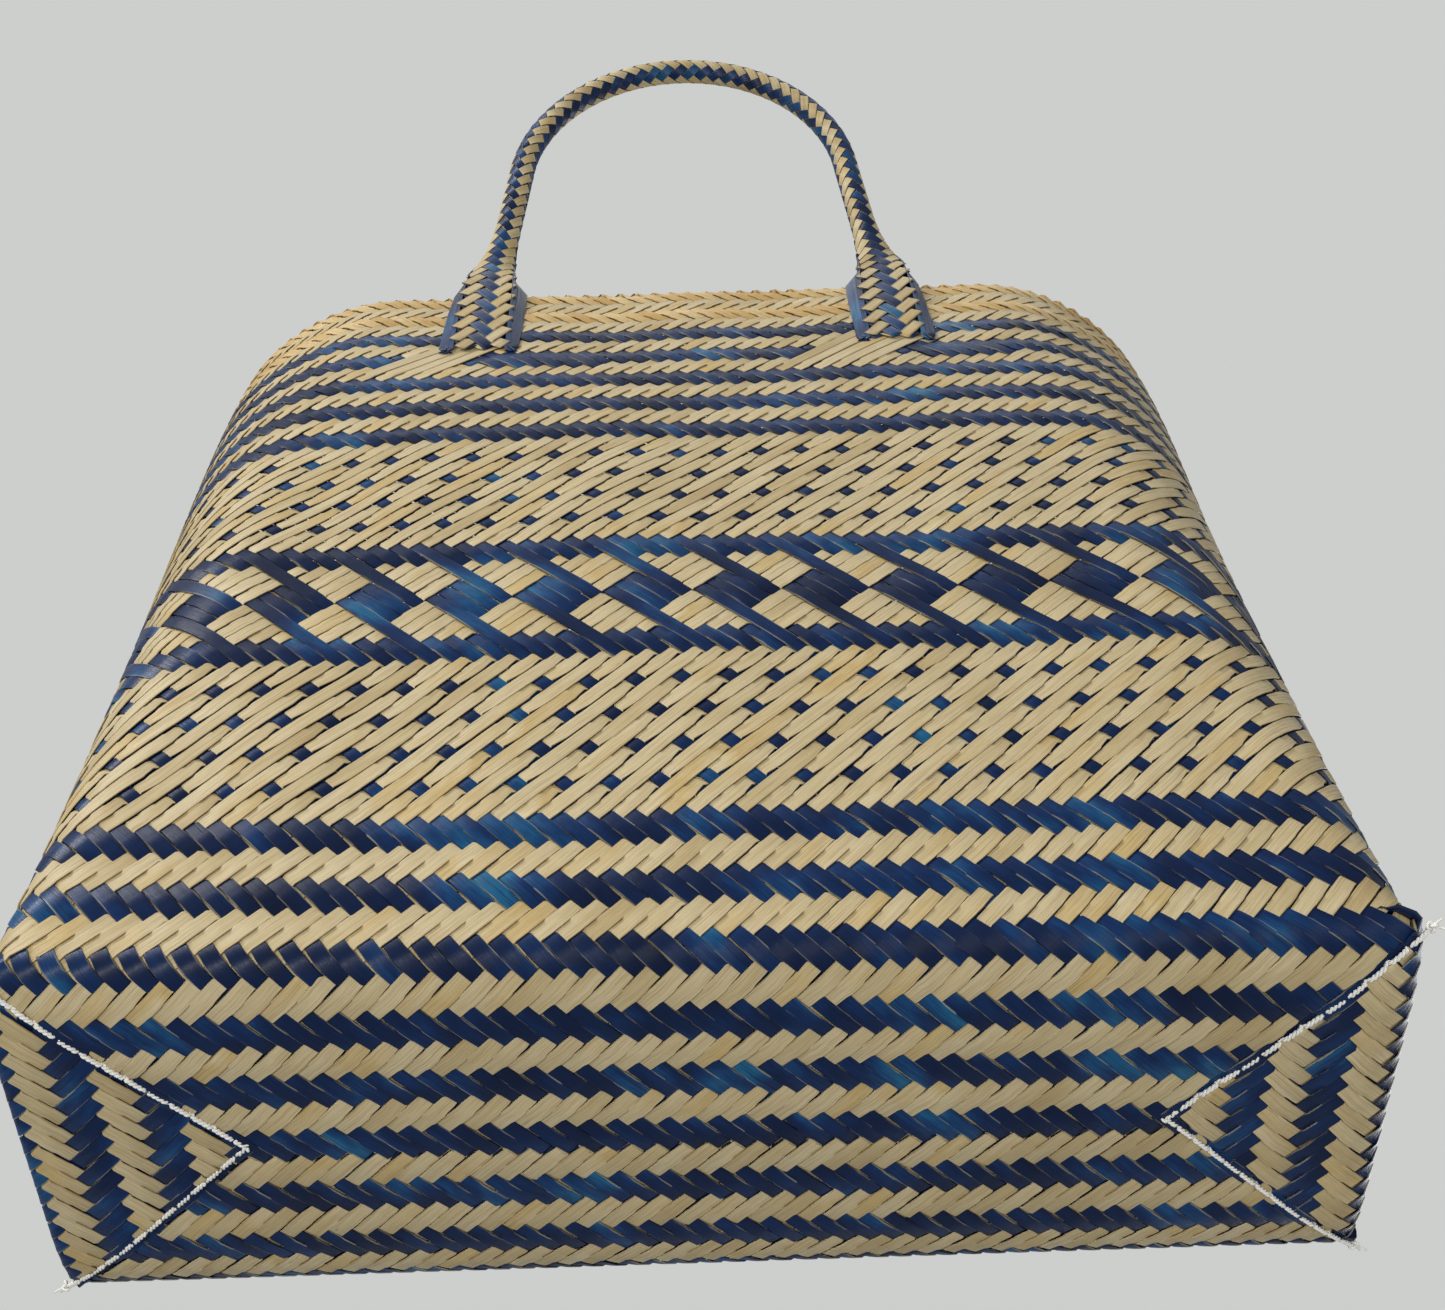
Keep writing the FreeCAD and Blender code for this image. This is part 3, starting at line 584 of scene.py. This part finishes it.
def splint_material(name, tints, dark, edge, edge_share, rough, blotch, half=2.3, gloss=0.25,
                    smudge=0.0, coat=0.0):
    """Split straw: lengthwise grain, a tone for each splint and a line along its edges. With a dark
    edge colour that line is painted shade where neighbouring splints meet; with a pale one it is the
    undyed cut edge.

    blotch is the share of the tone that goes by patches, which run over many splints."""
    m = Nodes(name)
    across, along, tone = m.mark("across"), m.mark("along"), m.mark("tone")
    seed = m.math("MULTIPLY", tone, 97.0)
    grain_at = m.vector(m.math("MULTIPLY", along, 0.05), m.math("MULTIPLY", across, 2.6), seed)
    fine_at = m.vector(m.math("MULTIPLY", along, 0.16), m.math("MULTIPLY", across, 7.0), seed)
    blotch_at = m.vector(m.math("MULTIPLY", along, 0.045), m.math("MULTIPLY", across, 0.12), seed)
    grain = m.noise(grain_at, 1.0, 3.0, 0.6)
    fine = m.noise(fine_at, 1.0, 2.0, 0.6)
    patch = m.noise(blotch_at, 1.0, 3.0, 0.55)
    wide = m.noise(m.add("ShaderNodeTexCoord").outputs["Object"], 26.0, 2.0, 0.5)
    spread = m.math("ADD", m.math("MULTIPLY", wide, 0.62), m.math("MULTIPLY", patch, 0.38))
    spread = m.range(spread, 0.36, 0.64)
    place = m.math("ADD", m.math("MULTIPLY", tone, 1.0 - blotch), m.math("MULTIPLY", spread, blotch))
    body = m.ramp(place, tints)
    body = m.mix(m.range(grain, 0.46, 0.72, 0.0, 0.62), body, dark)
    body = m.mix(m.range(fine, 0.35, 0.65, 0.0, 0.32), body, dark)
    # line along the splint's edges: with a dark edge colour it is painted shade where neighbouring
    # splints meet, with a pale edge colour it is the undyed cut edge
    rim = m.math("DIVIDE", m.math("ABSOLUTE", across), half)
    uneven = m.math("MULTIPLY", m.math("SUBTRACT", patch, 0.5), 0.5)
    line = m.range(m.math("ADD", rim, uneven), 0.90, 1.0)
    body = m.mix(m.math("MULTIPLY", line, edge_share), body, edge)
    if smudge:
        smear_at = m.vector(m.math("MULTIPLY", along, 0.12), m.math("MULTIPLY", across, 0.5), seed)
        smear = m.noise(smear_at, 1.0, 4.0, 0.65)
        body = m.mix(m.range(smear, 0.71, 0.76, 0.0, smudge), body, colour(SMUDGE))
    m.put(m.shader.inputs["Base Color"], body)
    m.put(m.shader.inputs["Roughness"], m.range(grain, 0.3, 0.75, rough - 0.07, rough + 0.12))
    m.shader.inputs["Specular IOR Level"].default_value = gloss
    m.shader.inputs["Coat Weight"].default_value = coat
    m.shader.inputs["Coat Roughness"].default_value = COAT_ROUGHNESS
    m.bump(m.math("ADD", grain, m.math("MULTIPLY", fine, 0.5)), 0.35, BUMP_DEPTH)
    return m.material


def cane_material():
    """Bare cane under the braid, streaked along its length."""
    m = Nodes("bare_cane")
    place = m.add("ShaderNodeTexCoord").outputs["Object"]
    grain = m.noise(place, 900.0, 4.0)
    tints = stops((0.3, "8A6C3E"), (0.7, "B6945C"))
    m.put(m.shader.inputs["Base Color"], m.ramp(grain, tints))
    m.shader.inputs["Roughness"].default_value = 0.6
    m.bump(grain, 0.3, 0.0002)
    return m.material


def thread_material():
    """White cotton: soft, slightly grey in the twist."""
    m = Nodes("cotton_thread")
    place = m.add("ShaderNodeTexCoord").outputs["Object"]
    fuzz = m.noise(place, 2600.0, 3.0, 0.7)
    tints = stops((0.3, "CFCBC0"), (0.65, "F1EFE8"))
    m.put(m.shader.inputs["Base Color"], m.ramp(fuzz, tints))
    m.shader.inputs["Roughness"].default_value = 0.85
    m.bump(fuzz, 0.5, 0.00015)
    return m.material


def make_materials():
    straw = stops((0.0, "A8956C"), (0.3, "B8A880"), (0.62, "C4B692"), (0.86, "BBA36E"), (1.0, "CFC3A1"))
    navy = stops((0.0, "09152F"), (0.42, "0D2043"), (0.62, "112D58"), (0.80, "184672"), (1.0, "21678C"))
    golden = stops((0.0, "B69456"), (0.4, "C7A86D"), (0.75, "D3BA86"), (1.0, "DCCA9E"))
    # 7C6238 and amber, where they are the edge colour of undyed, handle or golden straw, paint shade
    # along the splints' edges where they meet; the pale edge colours of dyed straw are its undyed cut
    # edges
    grain, edge, amber = colour("8F7345"), colour("7C6238"), colour("8A6428")
    return {
        "natural": splint_material("undyed_straw", straw, grain, edge, edge_share=0.45, rough=0.50,
                                   blotch=0.40, half=2.43, smudge=0.55),
        "blue": splint_material("navy_dyed_straw", navy, colour("0A1328"), colour("A39C86"),
                                edge_share=0.60, rough=0.33, blotch=0.80, half=2.42, gloss=0.12,
                                coat=0.04),
        "natural_fine": splint_material("undyed_handle_straw", straw, grain, edge, edge_share=0.6,
                                        rough=0.50, blotch=0.30, half=ROD_SPLINT_HALF),
        "blue_fine": splint_material("navy_handle_straw", navy, colour("0B1024"), colour("8C8A80"),
                                     edge_share=0.15, rough=0.36, blotch=0.5, half=ROD_SPLINT_HALF),
        "cane": cane_material(),
        "thread": thread_material(),
        "golden": splint_material("golden_straw", golden, amber, amber, edge_share=0.5, rough=0.48,
                                  blotch=0.35),
    }


# ------------------------------------------------------------------ build



def dress(piece, material, nodes):
    """Make a piece part of the bag, in place of some CAD nodes."""
    piece.data.materials.append(material)
    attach(piece, "bag")
    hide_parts(*nodes)


def build_plait(materials):
    """Both sets of splints; in the rim the second set is undyed too, in a more golden straw."""
    for kind, rim_kind in (("natural", "natural"), ("blue", "golden")):
        for piece in plait_set(kind):
            panel = piece.name.rsplit("_", 2)[0]
            if panel == "rim":
                dress(piece, materials[rim_kind], PLACES[panel])
            else:
                dress(piece, materials[kind], PLACES[panel])


# ------------------------------------------------------------------ handles

TAB_LOW, TAB_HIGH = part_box("front_root_right_tab")
HINGE = {joint["child"]: joint for joint in frame["joints"]}

ARCH_SPAN = (TAB_LOW.x + TAB_HIGH.x) / 2 / MM
ARCH_RISE = 124.0       # mm from the hinge to the top of the arch
ARCH_TOP_RADIUS = 68.0
ARCH_TILT = math.radians(24.0)      # outwards, at rest
ROD_RADIUS = 4.55       # middle of the braid
ROD_SPLINTS = 6         # of each set around the rod
ROD_COLUMNS = 2 * ROD_SPLINTS
ROD_STEP = 2.95         # mm along the rod from one crossing to the next
ROOT_STEP = 4.7         # and at the foot of a root
ROOT_HIGH = 34.0        # mm above the hinge where the root has become the round rod
ROOT_FLAT = -14.0       # and where, below the hinge, it lies flat
ROOT_SPREAD = 0.38      # share by which the plait is wider at the foot
STRIPE_TURN = 2.3       # columns by which the stripes turn towards the top of the arch
ROD_SPLINT_HALF = 1.78
TAB_FOOT = TAB_LOW.z / MM + 2.0
TAIL_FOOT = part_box("front_root_right_tail")[0].z / MM + 4.0
TAB_STAND_OFF = 1.0     # from the wall to the middle of the root's plait, at its foot
TAB_LEAN = 0.10         # how far the root leans out for each mm up
TAIL_INSET = 5.3        # from the wall's outer surface in to the plait of a root's tail
BRAID_THICKNESS = 0.5
BRAID_LIFT = 0.30       # how far a braid's splint stands above or below its middle
BRAID_WIDTH_NOISE = 0.03
FLANK_SAMPLES = 34
FLANK_TOP = 17.0        # mm above the hinge where the flanks' ragged ends are
FLANK_DEPTH = 4.2       # how far out from the root they meet the wall
FLANK_THICKNESS = 0.45
# where each strip lies between a root's front and rear, its share of that width, samples kept
FLANK_STRIPS = ((0.30, 0.40, 34), (0.74, 0.42, 31))


class Arch:
    """One handle's centre line and the surface that its braid lies on."""

    def __init__(self, body):
        joint = HINGE[body]
        self.hinge = np.array(joint["pos_m"]) / MM
        self.out = math.copysign(1.0, self.hinge[1])
        self.face = np.array([0.0, self.out * math.cos(ARCH_TILT), -math.sin(ARCH_TILT)])
        self.up = np.array([0.0, self.out * math.sin(ARCH_TILT), math.cos(ARCH_TILT)])
        self.along_x = np.array([-self.out, 0.0, 0.0])
        centre = ARCH_RISE - ARCH_TOP_RADIUS
        reach = math.hypot(ARCH_SPAN, centre)
        self.lean = math.acos(ARCH_TOP_RADIUS / reach) - math.atan2(centre, ARCH_SPAN)
        touch_x = ARCH_TOP_RADIUS * math.cos(self.lean)
        touch_up = centre + ARCH_TOP_RADIUS * math.sin(self.lean)
        self.leg = math.hypot(ARCH_SPAN - touch_x, touch_up)
        self.length = 2 * self.leg + ARCH_TOP_RADIUS * (math.pi - 2 * self.lean)

    def line(self, s):
        """Centre line and its direction at a run s from the left hinge."""
        turn = np.clip((s - self.leg) / ARCH_TOP_RADIUS, 0, math.pi - 2 * self.lean)
        angle = math.pi - self.lean - turn
        flat = np.stack([ARCH_TOP_RADIUS * np.cos(angle),
                         ARCH_RISE - ARCH_TOP_RADIUS + ARCH_TOP_RADIUS * np.sin(angle)], -1)
        way = np.stack([np.sin(angle), -np.cos(angle)], -1)
        past = np.minimum(s - self.leg, 0) + np.maximum(s - self.length + self.leg, 0)
        flat = flat + way * past[..., None]
        place = self.hinge + flat[..., :1] * self.along_x + flat[..., 1:] * self.up
        return place, way[..., :1] * self.along_x + way[..., 1:] * self.up

    def radius(self, s):
        """Middle radius of the braid, a little less towards the top of the arch."""
        return ROD_RADIUS * (1 - 0.08 * np.sin(math.pi * np.clip(s / self.length, 0, 1)) ** 2)

    def runs(self, steps):
        """Run s at crossing numbers counted from the top of the arch, longer steps at the roots."""
        r = np.linspace(0, self.length / 2 + 90, 2000)
        step = ROD_STEP + (ROOT_STEP - ROD_STEP) * smooth((20 - (self.length / 2 - r)) / 45)
        count = np.concatenate([[0], np.cumsum(np.diff(r) / step[1:])])
        return self.length / 2 + np.sign(steps) * np.interp(np.abs(steps), count, r)

    def widening(self, s):
        down = np.minimum(s, self.length - s)
        return 1 + ROOT_SPREAD * smooth((ROOT_HIGH + 6 - down) / 76)

    def surface(self, v, s, outer):
        """Middle surface of the outer or inner half; v is the run from the middle of that half."""
        face = np.where(outer, 1.0, -1.0)[..., None]
        half = v * self.widening(s) * self.radius(s) / ROD_RADIUS
        down = np.minimum(s, self.length - s)
        leg = np.where(s < self.length / 2, -1.0, 1.0)
        flat = smooth((ROOT_HIGH - down) / (ROOT_HIGH - ROOT_FLAT))
        place, way = self.line(s)
        rod_side = np.cross(way, np.broadcast_to(self.face, way.shape))
        radius = self.radius(s)
        rod_face = place + face * self.face * radius[..., None]
        level = self.hinge[2] + down
        depth = section_sizes(np.minimum(level, MOUTH_LEVEL))[1]
        lean = TAB_STAND_OFF + TAB_LEAN * (level - TAB_FOOT)
        wall = depth + np.where(outer, lean, -TAIL_INSET)
        strip = np.stack([leg * ARCH_SPAN * self.along_x[0], self.out * wall, level], -1)
        strip_side = -leg[..., None] * self.along_x
        mix = flat[..., None]
        side = unit(rod_side * (1 - mix) + strip_side * mix)
        front = unit(self.face * (1 - mix) + np.array([0.0, self.out, 0.0]) * mix)
        bend = np.maximum((1 - flat) / radius, 1e-4)
        spread = np.sin(bend * half) / bend
        drop = (1 - np.cos(bend * half)) / bend
        middle = rod_face * (1 - mix) + strip * mix
        return middle + side * spread[..., None] - face * front * drop[..., None]

    def normal(self, v, s, outer):
        step = 0.02
        across = self.surface(v + step, s, outer) - self.surface(v - step, s, outer)
        up = self.surface(v, s + step, outer) - self.surface(v, s - step, outer)
        return unit(np.cross(across, up)) * np.where(outer, 1.0, -1.0)[..., None]


def braid(arch, kind, name):
    """One set of splints of a handle: round the rod, and flat down both sides of the rim."""
    around = 2 * math.pi * ROD_RADIUS
    column_run = around / ROD_COLUMNS
    most = math.ceil(arch.length / 2 / ROD_STEP + 75 / ROOT_STEP)
    steps = np.arange(-most, most + 1)
    m = np.sort(np.concatenate([steps - SAMPLE_OFFSET, steps + SAMPLE_OFFSET]))
    index = np.arange(ROD_SPLINTS)[:, None]
    lean = 1 if kind == "natural" else -1
    column = (2 * index + lean * steps) % ROD_COLUMNS
    over = (column % 4 >= 2) == (kind == "natural")
    v = (2 * index + lean * m - 0.5) * column_run
    s = np.broadcast_to(arch.runs(m), v.shape)
    turn = STRIPE_TURN * column_run * np.sin(math.pi * np.clip(s / arch.length, 0, 1)) ** 2
    v = (v - turn + around / 2) % around - around / 2
    outer = np.abs(v) <= around / 4
    half = np.where(outer, v, -((v + around) % around - around / 2))
    down = np.minimum(s, arch.length - s)
    keep = down > np.where(outer, TAB_FOOT, TAIL_FOOT) - arch.hinge[2]
    # a splint is cut where it would pass from the outer to the inner half through the wall
    changes = outer[:, 1:] != outer[:, :-1]
    cut = changes & (np.minimum(down[:, 1:], down[:, :-1]) < 0.45 * ROOT_HIGH)
    lift = np.repeat(np.where(over, BRAID_LIFT, -BRAID_LIFT), 2, axis=1)
    half_width = ROD_SPLINT_HALF * arch.widening(s) * (1 + rng.normal(0, BRAID_WIDTH_NOISE, v.shape))
    tone = rng.random(ROD_SPLINTS)
    along = s * 1.3 + 500 * rng.random((ROD_SPLINTS, 1))
    return ribbons(arch.surface(half, s, outer), arch.normal(half, s, outer), half_width,
                   BRAID_THICKNESS, lift, keep, tone, along, np.where(cut, -1, 0), [name], 0.02)[0]


def flank_edges(arch, leg, edge, down):
    """Front and rear of the gap at one side of a root, and the way out of the gap."""
    s = down if leg < 0 else arch.length - down
    outer = np.full(s.shape, True)
    side = np.full(s.shape, edge * math.pi * ROD_RADIUS / 2 * 0.97)
    front, back = arch.surface(side, s, outer), arch.surface(side, s, ~outer)
    level = arch.hinge[2] + down
    on_wall = front.copy()
    on_wall[:, 1] = arch.out * (section_sizes(np.minimum(level, MOUTH_LEVEL))[1] + 0.9)
    above = smooth((level - MOUTH_LEVEL - 1) / 5)[:, None]
    outwards = unit((front - arch.surface(np.zeros(s.shape), s, outer)) * [1, 0, 0])
    rear = on_wall * (1 - above) + back * above + outwards * (FLANK_DEPTH * (1 - above))
    return front, rear, outwards


def flanks(arch, name):
    """Dyed strips that close both sides of each root, with ragged ends above the rim."""
    down = np.linspace(TAB_FOOT - arch.hinge[2] - 1.0, FLANK_TOP, FLANK_SAMPLES)
    count = np.arange(FLANK_SAMPLES)
    centres, normals, halves, keeps = [], [], [], []
    for leg, edge in ((-1, -1), (-1, 1), (1, -1), (1, 1)):
        front, rear, outwards = flank_edges(arch, leg, edge, down)
        size = np.maximum(np.linalg.norm(rear - front, axis=1), 0.8)
        for share, width, last in FLANK_STRIPS:
            centre = front * (1 - share) + rear * share + outwards * 0.25
            normal = unit(np.cross(rear - front, np.gradient(centre, axis=0)))
            centres.append(centre)
            normals.append(normal * np.sign((normal * outwards).sum(1, keepdims=True)))
            halves.append(size * width * np.clip((last - 1 - count) / 4, 0.25, 1))
            keeps.append(count < last)
    shape = (len(centres), FLANK_SAMPLES)
    lift = np.full(shape, 0.1) + 0.15 * (np.arange(len(centres)) % 2)[:, None]
    tone = rng.random(len(centres))
    along = np.broadcast_to(down * 1.3, shape) + 500 * rng.random((len(centres), 1))
    label = np.zeros((len(centres), FLANK_SAMPLES - 1), int)
    return ribbons(np.array(centres), np.array(normals), np.array(halves), FLANK_THICKNESS, lift,
                   np.array(keeps), tone, along, label, [name], 0.03)[0]


def build_handle(side, materials):
    """Braid and flanks of one handle, which bend smoothly at the roots, and its core."""
    body = side + "_handle"
    arch = Arch(body)
    roots = [node for node in frame["nodes"] if node.startswith(side + "_root_")]
    for kind in ("natural", "blue"):
        piece = braid(arch, kind, "%s_handle_%s_braid" % (side, kind))
        piece.data.materials.append(materials[kind + "_fine"])
        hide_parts(side + "_handle_braid", *roots)
        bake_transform(piece)
    piece = flanks(arch, side + "_handle_root_flanks")
    piece.data.materials.append(materials["blue_fine"])
    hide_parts(*roots)
    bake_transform(piece)
    core = frame["nodes"][side + "_handle_core"]
    core.data.materials.clear()
    core.data.materials.append(materials["cane"])


# ------------------------------------------------------------------ sewing

PLY_RADIUS = 0.42
TAIL_RADIUS = 0.30      # of a knot's cut ends
PLY_TWIST = 2.8         # mm for one turn of the two plies
STITCH_PITCH = 6.8
SEAM_SAMPLES = 260
TUBE_SIDES = 6
TUBE_CAP = ((0, 1, 2, 3), (0, 3, 4, 5))     # the two quads that close an end


def tube(points, radius):
    """Points and quads of a closed tube along one line."""
    forward = unit(np.gradient(points, axis=0))
    hint = np.array([0.0, 0.0, 1.0]) if abs(forward[0, 2]) < 0.9 else np.array([1.0, 0.0, 0.0])
    first = []
    for way in forward:
        hint = unit(hint - way * hint.dot(way))
        first.append(hint)
    first = np.array(first)
    second = np.cross(forward, first)
    angle = np.arange(TUBE_SIDES) * 2 * math.pi / TUBE_SIDES
    ring = first[:, None] * np.cos(angle)[:, None] + second[:, None] * np.sin(angle)[:, None]
    skin = (points[:, None] + ring * radius).reshape(-1, 3)
    quads = []
    for k in range(len(points) - 1):
        for r in range(TUBE_SIDES):
            a, b = k * TUBE_SIDES + r, k * TUBE_SIDES + (r + 1) % TUBE_SIDES
            quads.append((a, b, b + TUBE_SIDES, a + TUBE_SIDES))
    last = (len(points) - 1) * TUBE_SIDES
    for base, order in ((0, -1), (last, 1)):
        for corners in TUBE_CAP:
            quads.append([base + r for r in corners][::order])
    return skin, np.array(quads)


def merged(name, parts):
    """One piece from several tubes."""
    points, quads, start = [], [], 0
    for skin, faces in parts:
        points.append(skin)
        quads.append(faces + start)
        start += len(skin)
    return new_mesh(name, np.concatenate(points), np.concatenate(quads), {})


def twisted(line):
    """Two plies twisted round a line of points."""
    run = np.concatenate([[0], np.cumsum(np.linalg.norm(np.diff(line, axis=0), axis=1))])
    forward = unit(np.gradient(line, axis=0))
    side = unit(np.cross(forward, np.array([0.0, 0.0, 1.0])))
    lift = np.cross(side, forward)
    plies = []
    for phase in (0, math.pi):
        angle = (2 * math.pi * run / PLY_TWIST + phase)[:, None]
        offset = PLY_RADIUS * 0.9 * (side * np.cos(angle) + lift * np.sin(angle))
        plies.append(tube(line + offset, PLY_RADIUS))
    return plies


def seam_line(sx, sy):
    """Sewing line from a base corner to the ridge end, dipping into the plait at each stitch."""
    t = np.linspace(0.005, 1.0, SEAM_SAMPLES)
    run = t * math.hypot(BASE_HALF_WIDTH - RIDGE_HALF, BASE_HALF_DEPTH)
    x = sx * (BASE_HALF_WIDTH - t * (BASE_HALF_WIDTH - RIDGE_HALF))
    y, z = bent_sheet(sy * BASE_ARC * (1 - t), 0.0)
    stitch = run / STITCH_PITCH * 2 * math.pi
    dip = np.clip(np.cos(stitch) * 6 - 4.6, 0, 1)
    sway = 0.25 * np.sin(stitch + sx)
    return np.stack([x + sway * sy, y + sway * sx, z + 0.15 + 1.0 * dip], -1)


def knot_parts(middle, spin, size):
    """A small overhand knot with two cut tails."""
    t = np.linspace(0, 2 * math.pi, 60)
    loop = np.stack([np.sin(t) + 2 * np.sin(2 * t), np.cos(t) - 2 * np.cos(2 * t),
                     -1.4 * np.sin(3 * t)], -1)
    turn = np.array(Matrix.Rotation(spin, 3, "Z") @ Matrix.Rotation(0.9 + spin, 3, "X"))
    loop = loop @ turn.T * size / 3 + middle
    parts = [tube(loop, PLY_RADIUS)]
    for lean in (-0.7, 0.8):
        way = unit(np.array([middle[0] * 0.5, middle[1] * (1 + lean), 40.0 * lean]))
        tail = middle + way * np.linspace(0.3, 3.6, 8)[:, None]
        tail[:, 2] -= np.linspace(0, 1, 8) ** 2 * 0.8
        parts.append(tube(tail, TAIL_RADIUS))
    return parts


def build_sewing(materials):
    """Thread along the base's four diagonals, and knots at their ends."""
    knots = []
    for sx, sy in ((-1, -1), (1, -1), (1, 1), (-1, 1)):
        place = ("front" if sy < 0 else "back") + ("_left" if sx < 0 else "_right")
        line = seam_line(sx, sy)
        seam = merged("seam_" + place, twisted(line))
        dress(seam, materials["thread"], ("seam_thread_" + place,))
        middle = np.array([sx * (BASE_HALF_WIDTH + 0.4), sy * (BASE_HALF_DEPTH + 0.2), 5.6])
        knots += knot_parts(middle, sx + 2 * sy, 1.4)
    for sx in (-1, 1):
        ridge_end = np.array([sx * RIDGE_HALF, 0.0, 0.6])
        knots += knot_parts(ridge_end, sx * 1.4, 1.3)[:1]
    piece = merged("seam_corner_knots", knots)
    dress(piece, materials["thread"], ("seam_knots",))


# ------------------------------------------------------------------ camera, lights and floor

CAMERA_PLACE = (0.0039, -0.3913, -0.3537)   # metres
CAMERA_TURN = (146.0763, 1.3233, 1.1686)    # degrees about X, Y and Z
CAMERA_LENS = 47.94                         # mm, with a sensor 36 mm wide
BACKDROP = (0.61, 0.62, 0.61, 1)
FLOOR_HALF = 40.0       # metres
FLOOR_LEVEL = -0.0006


def set_camera():
    """Camera low in front of the base, looking up the front wall."""
    data = bpy.data.cameras.new("camera")
    data.sensor_width = 36.0
    data.lens = CAMERA_LENS
    data.clip_start = 0.01
    camera = bpy.data.objects.new("camera", data)
    bpy.context.scene.collection.objects.link(camera)
    camera.location = CAMERA_PLACE
    camera.rotation_euler = [math.radians(angle) for angle in CAMERA_TURN]
    bpy.context.scene.camera = camera


def area_light(name, place, target, size, power, tint=(1, 1, 1)):
    data = bpy.data.lights.new(name, "AREA")
    data.size = size
    data.energy = power
    data.color = tint
    lamp = bpy.data.objects.new(name, data)
    bpy.context.scene.collection.objects.link(lamp)
    lamp.location = place
    lamp.rotation_mode = "QUATERNION"
    lamp.rotation_quaternion = (Vector(target) - Vector(place)).to_track_quat("-Z", "Y")


def set_world():
    """Cool soft light all round; the camera sees a plain grey instead."""
    world = bpy.data.worlds.new("studio")
    bpy.context.scene.world = world
    world.use_nodes = True
    tree = world.node_tree
    light = tree.nodes["Background"]
    light.inputs["Color"].default_value = (0.77, 0.82, 0.88, 1)
    light.inputs["Strength"].default_value = 0.48
    seen = tree.nodes.new("ShaderNodeBackground")
    seen.inputs["Color"].default_value = BACKDROP
    choice = tree.nodes.new("ShaderNodeMixShader")
    tree.links.new(tree.nodes.new("ShaderNodeLightPath").outputs["Is Camera Ray"], choice.inputs[0])
    tree.links.new(light.outputs[0], choice.inputs[1])
    tree.links.new(seen.outputs[0], choice.inputs[2])
    tree.links.new(choice.outputs[0], tree.nodes["World Output"].inputs["Surface"])


def set_lights():
    """A large key from the left, soft fill from above, behind and below, and a small low glint."""
    area_light("key", (-1.3, -1.2, 1.15), (0, 0, 0.22), size=0.8, power=31, tint=(1.0, 0.99, 0.975))
    area_light("top", (0.0, -0.3, 1.75), (0, 0, 0.25), size=1.2, power=4.5, tint=(0.93, 0.96, 1.0))
    area_light("rear", (1.2, 1.3, 0.6), (0, 0, 0.2), size=1.2, power=13)
    area_light("under", (0.4, -1.1, -1.1), (0, 0, 0.0), size=1.0, power=6.2, tint=(1.0, 0.94, 0.84))
    area_light("glint", (-0.42, -0.95, -0.72), (-0.08, -0.06, 0.0), size=0.07, power=6.0)


def build_floor():
    """Pale floor, seen only from above; light passes it, so the base can be seen from below."""
    m = Nodes("pale_floor")
    m.shader.inputs["Base Color"].default_value = (0.33, 0.315, 0.29, 1)
    m.shader.inputs["Emission Color"].default_value = BACKDROP
    m.shader.inputs["Emission Strength"].default_value = 0.80
    m.shader.inputs["Roughness"].default_value = 0.9
    camera_ray = m.add("ShaderNodeLightPath").outputs["Is Camera Ray"]
    front = m.math("SUBTRACT", 1.0, m.add("ShaderNodeNewGeometry").outputs["Backfacing"])
    mixer = m.add("ShaderNodeMixShader", {0: m.math("MULTIPLY", camera_ray, front)})
    m.tree.links.new(m.add("ShaderNodeBsdfTransparent").outputs[0], mixer.inputs[1])
    m.tree.links.new(m.shader.outputs[0], mixer.inputs[2])
    m.tree.links.new(mixer.outputs[0], m.tree.nodes["Material Output"].inputs["Surface"])
    mesh = bpy.data.meshes.new("floor")
    sides = ((-1, -1), (1, -1), (1, 1), (-1, 1))
    corners = [(x * FLOOR_HALF, y * FLOOR_HALF, FLOOR_LEVEL) for x, y in sides]
    mesh.from_pydata(corners, [], [(0, 1, 2, 3)])
    mesh.materials.append(m.material)
    floor = bpy.data.objects.new("floor", mesh)
    bpy.context.scene.collection.objects.link(floor)


materials = make_materials()
build_plait(materials)
build_handle("front", materials)
build_handle("back", materials)
build_sewing(materials)
set_camera()
set_world()
set_lights()
build_floor()
bpy.context.scene.view_settings.view_transform = "Standard"
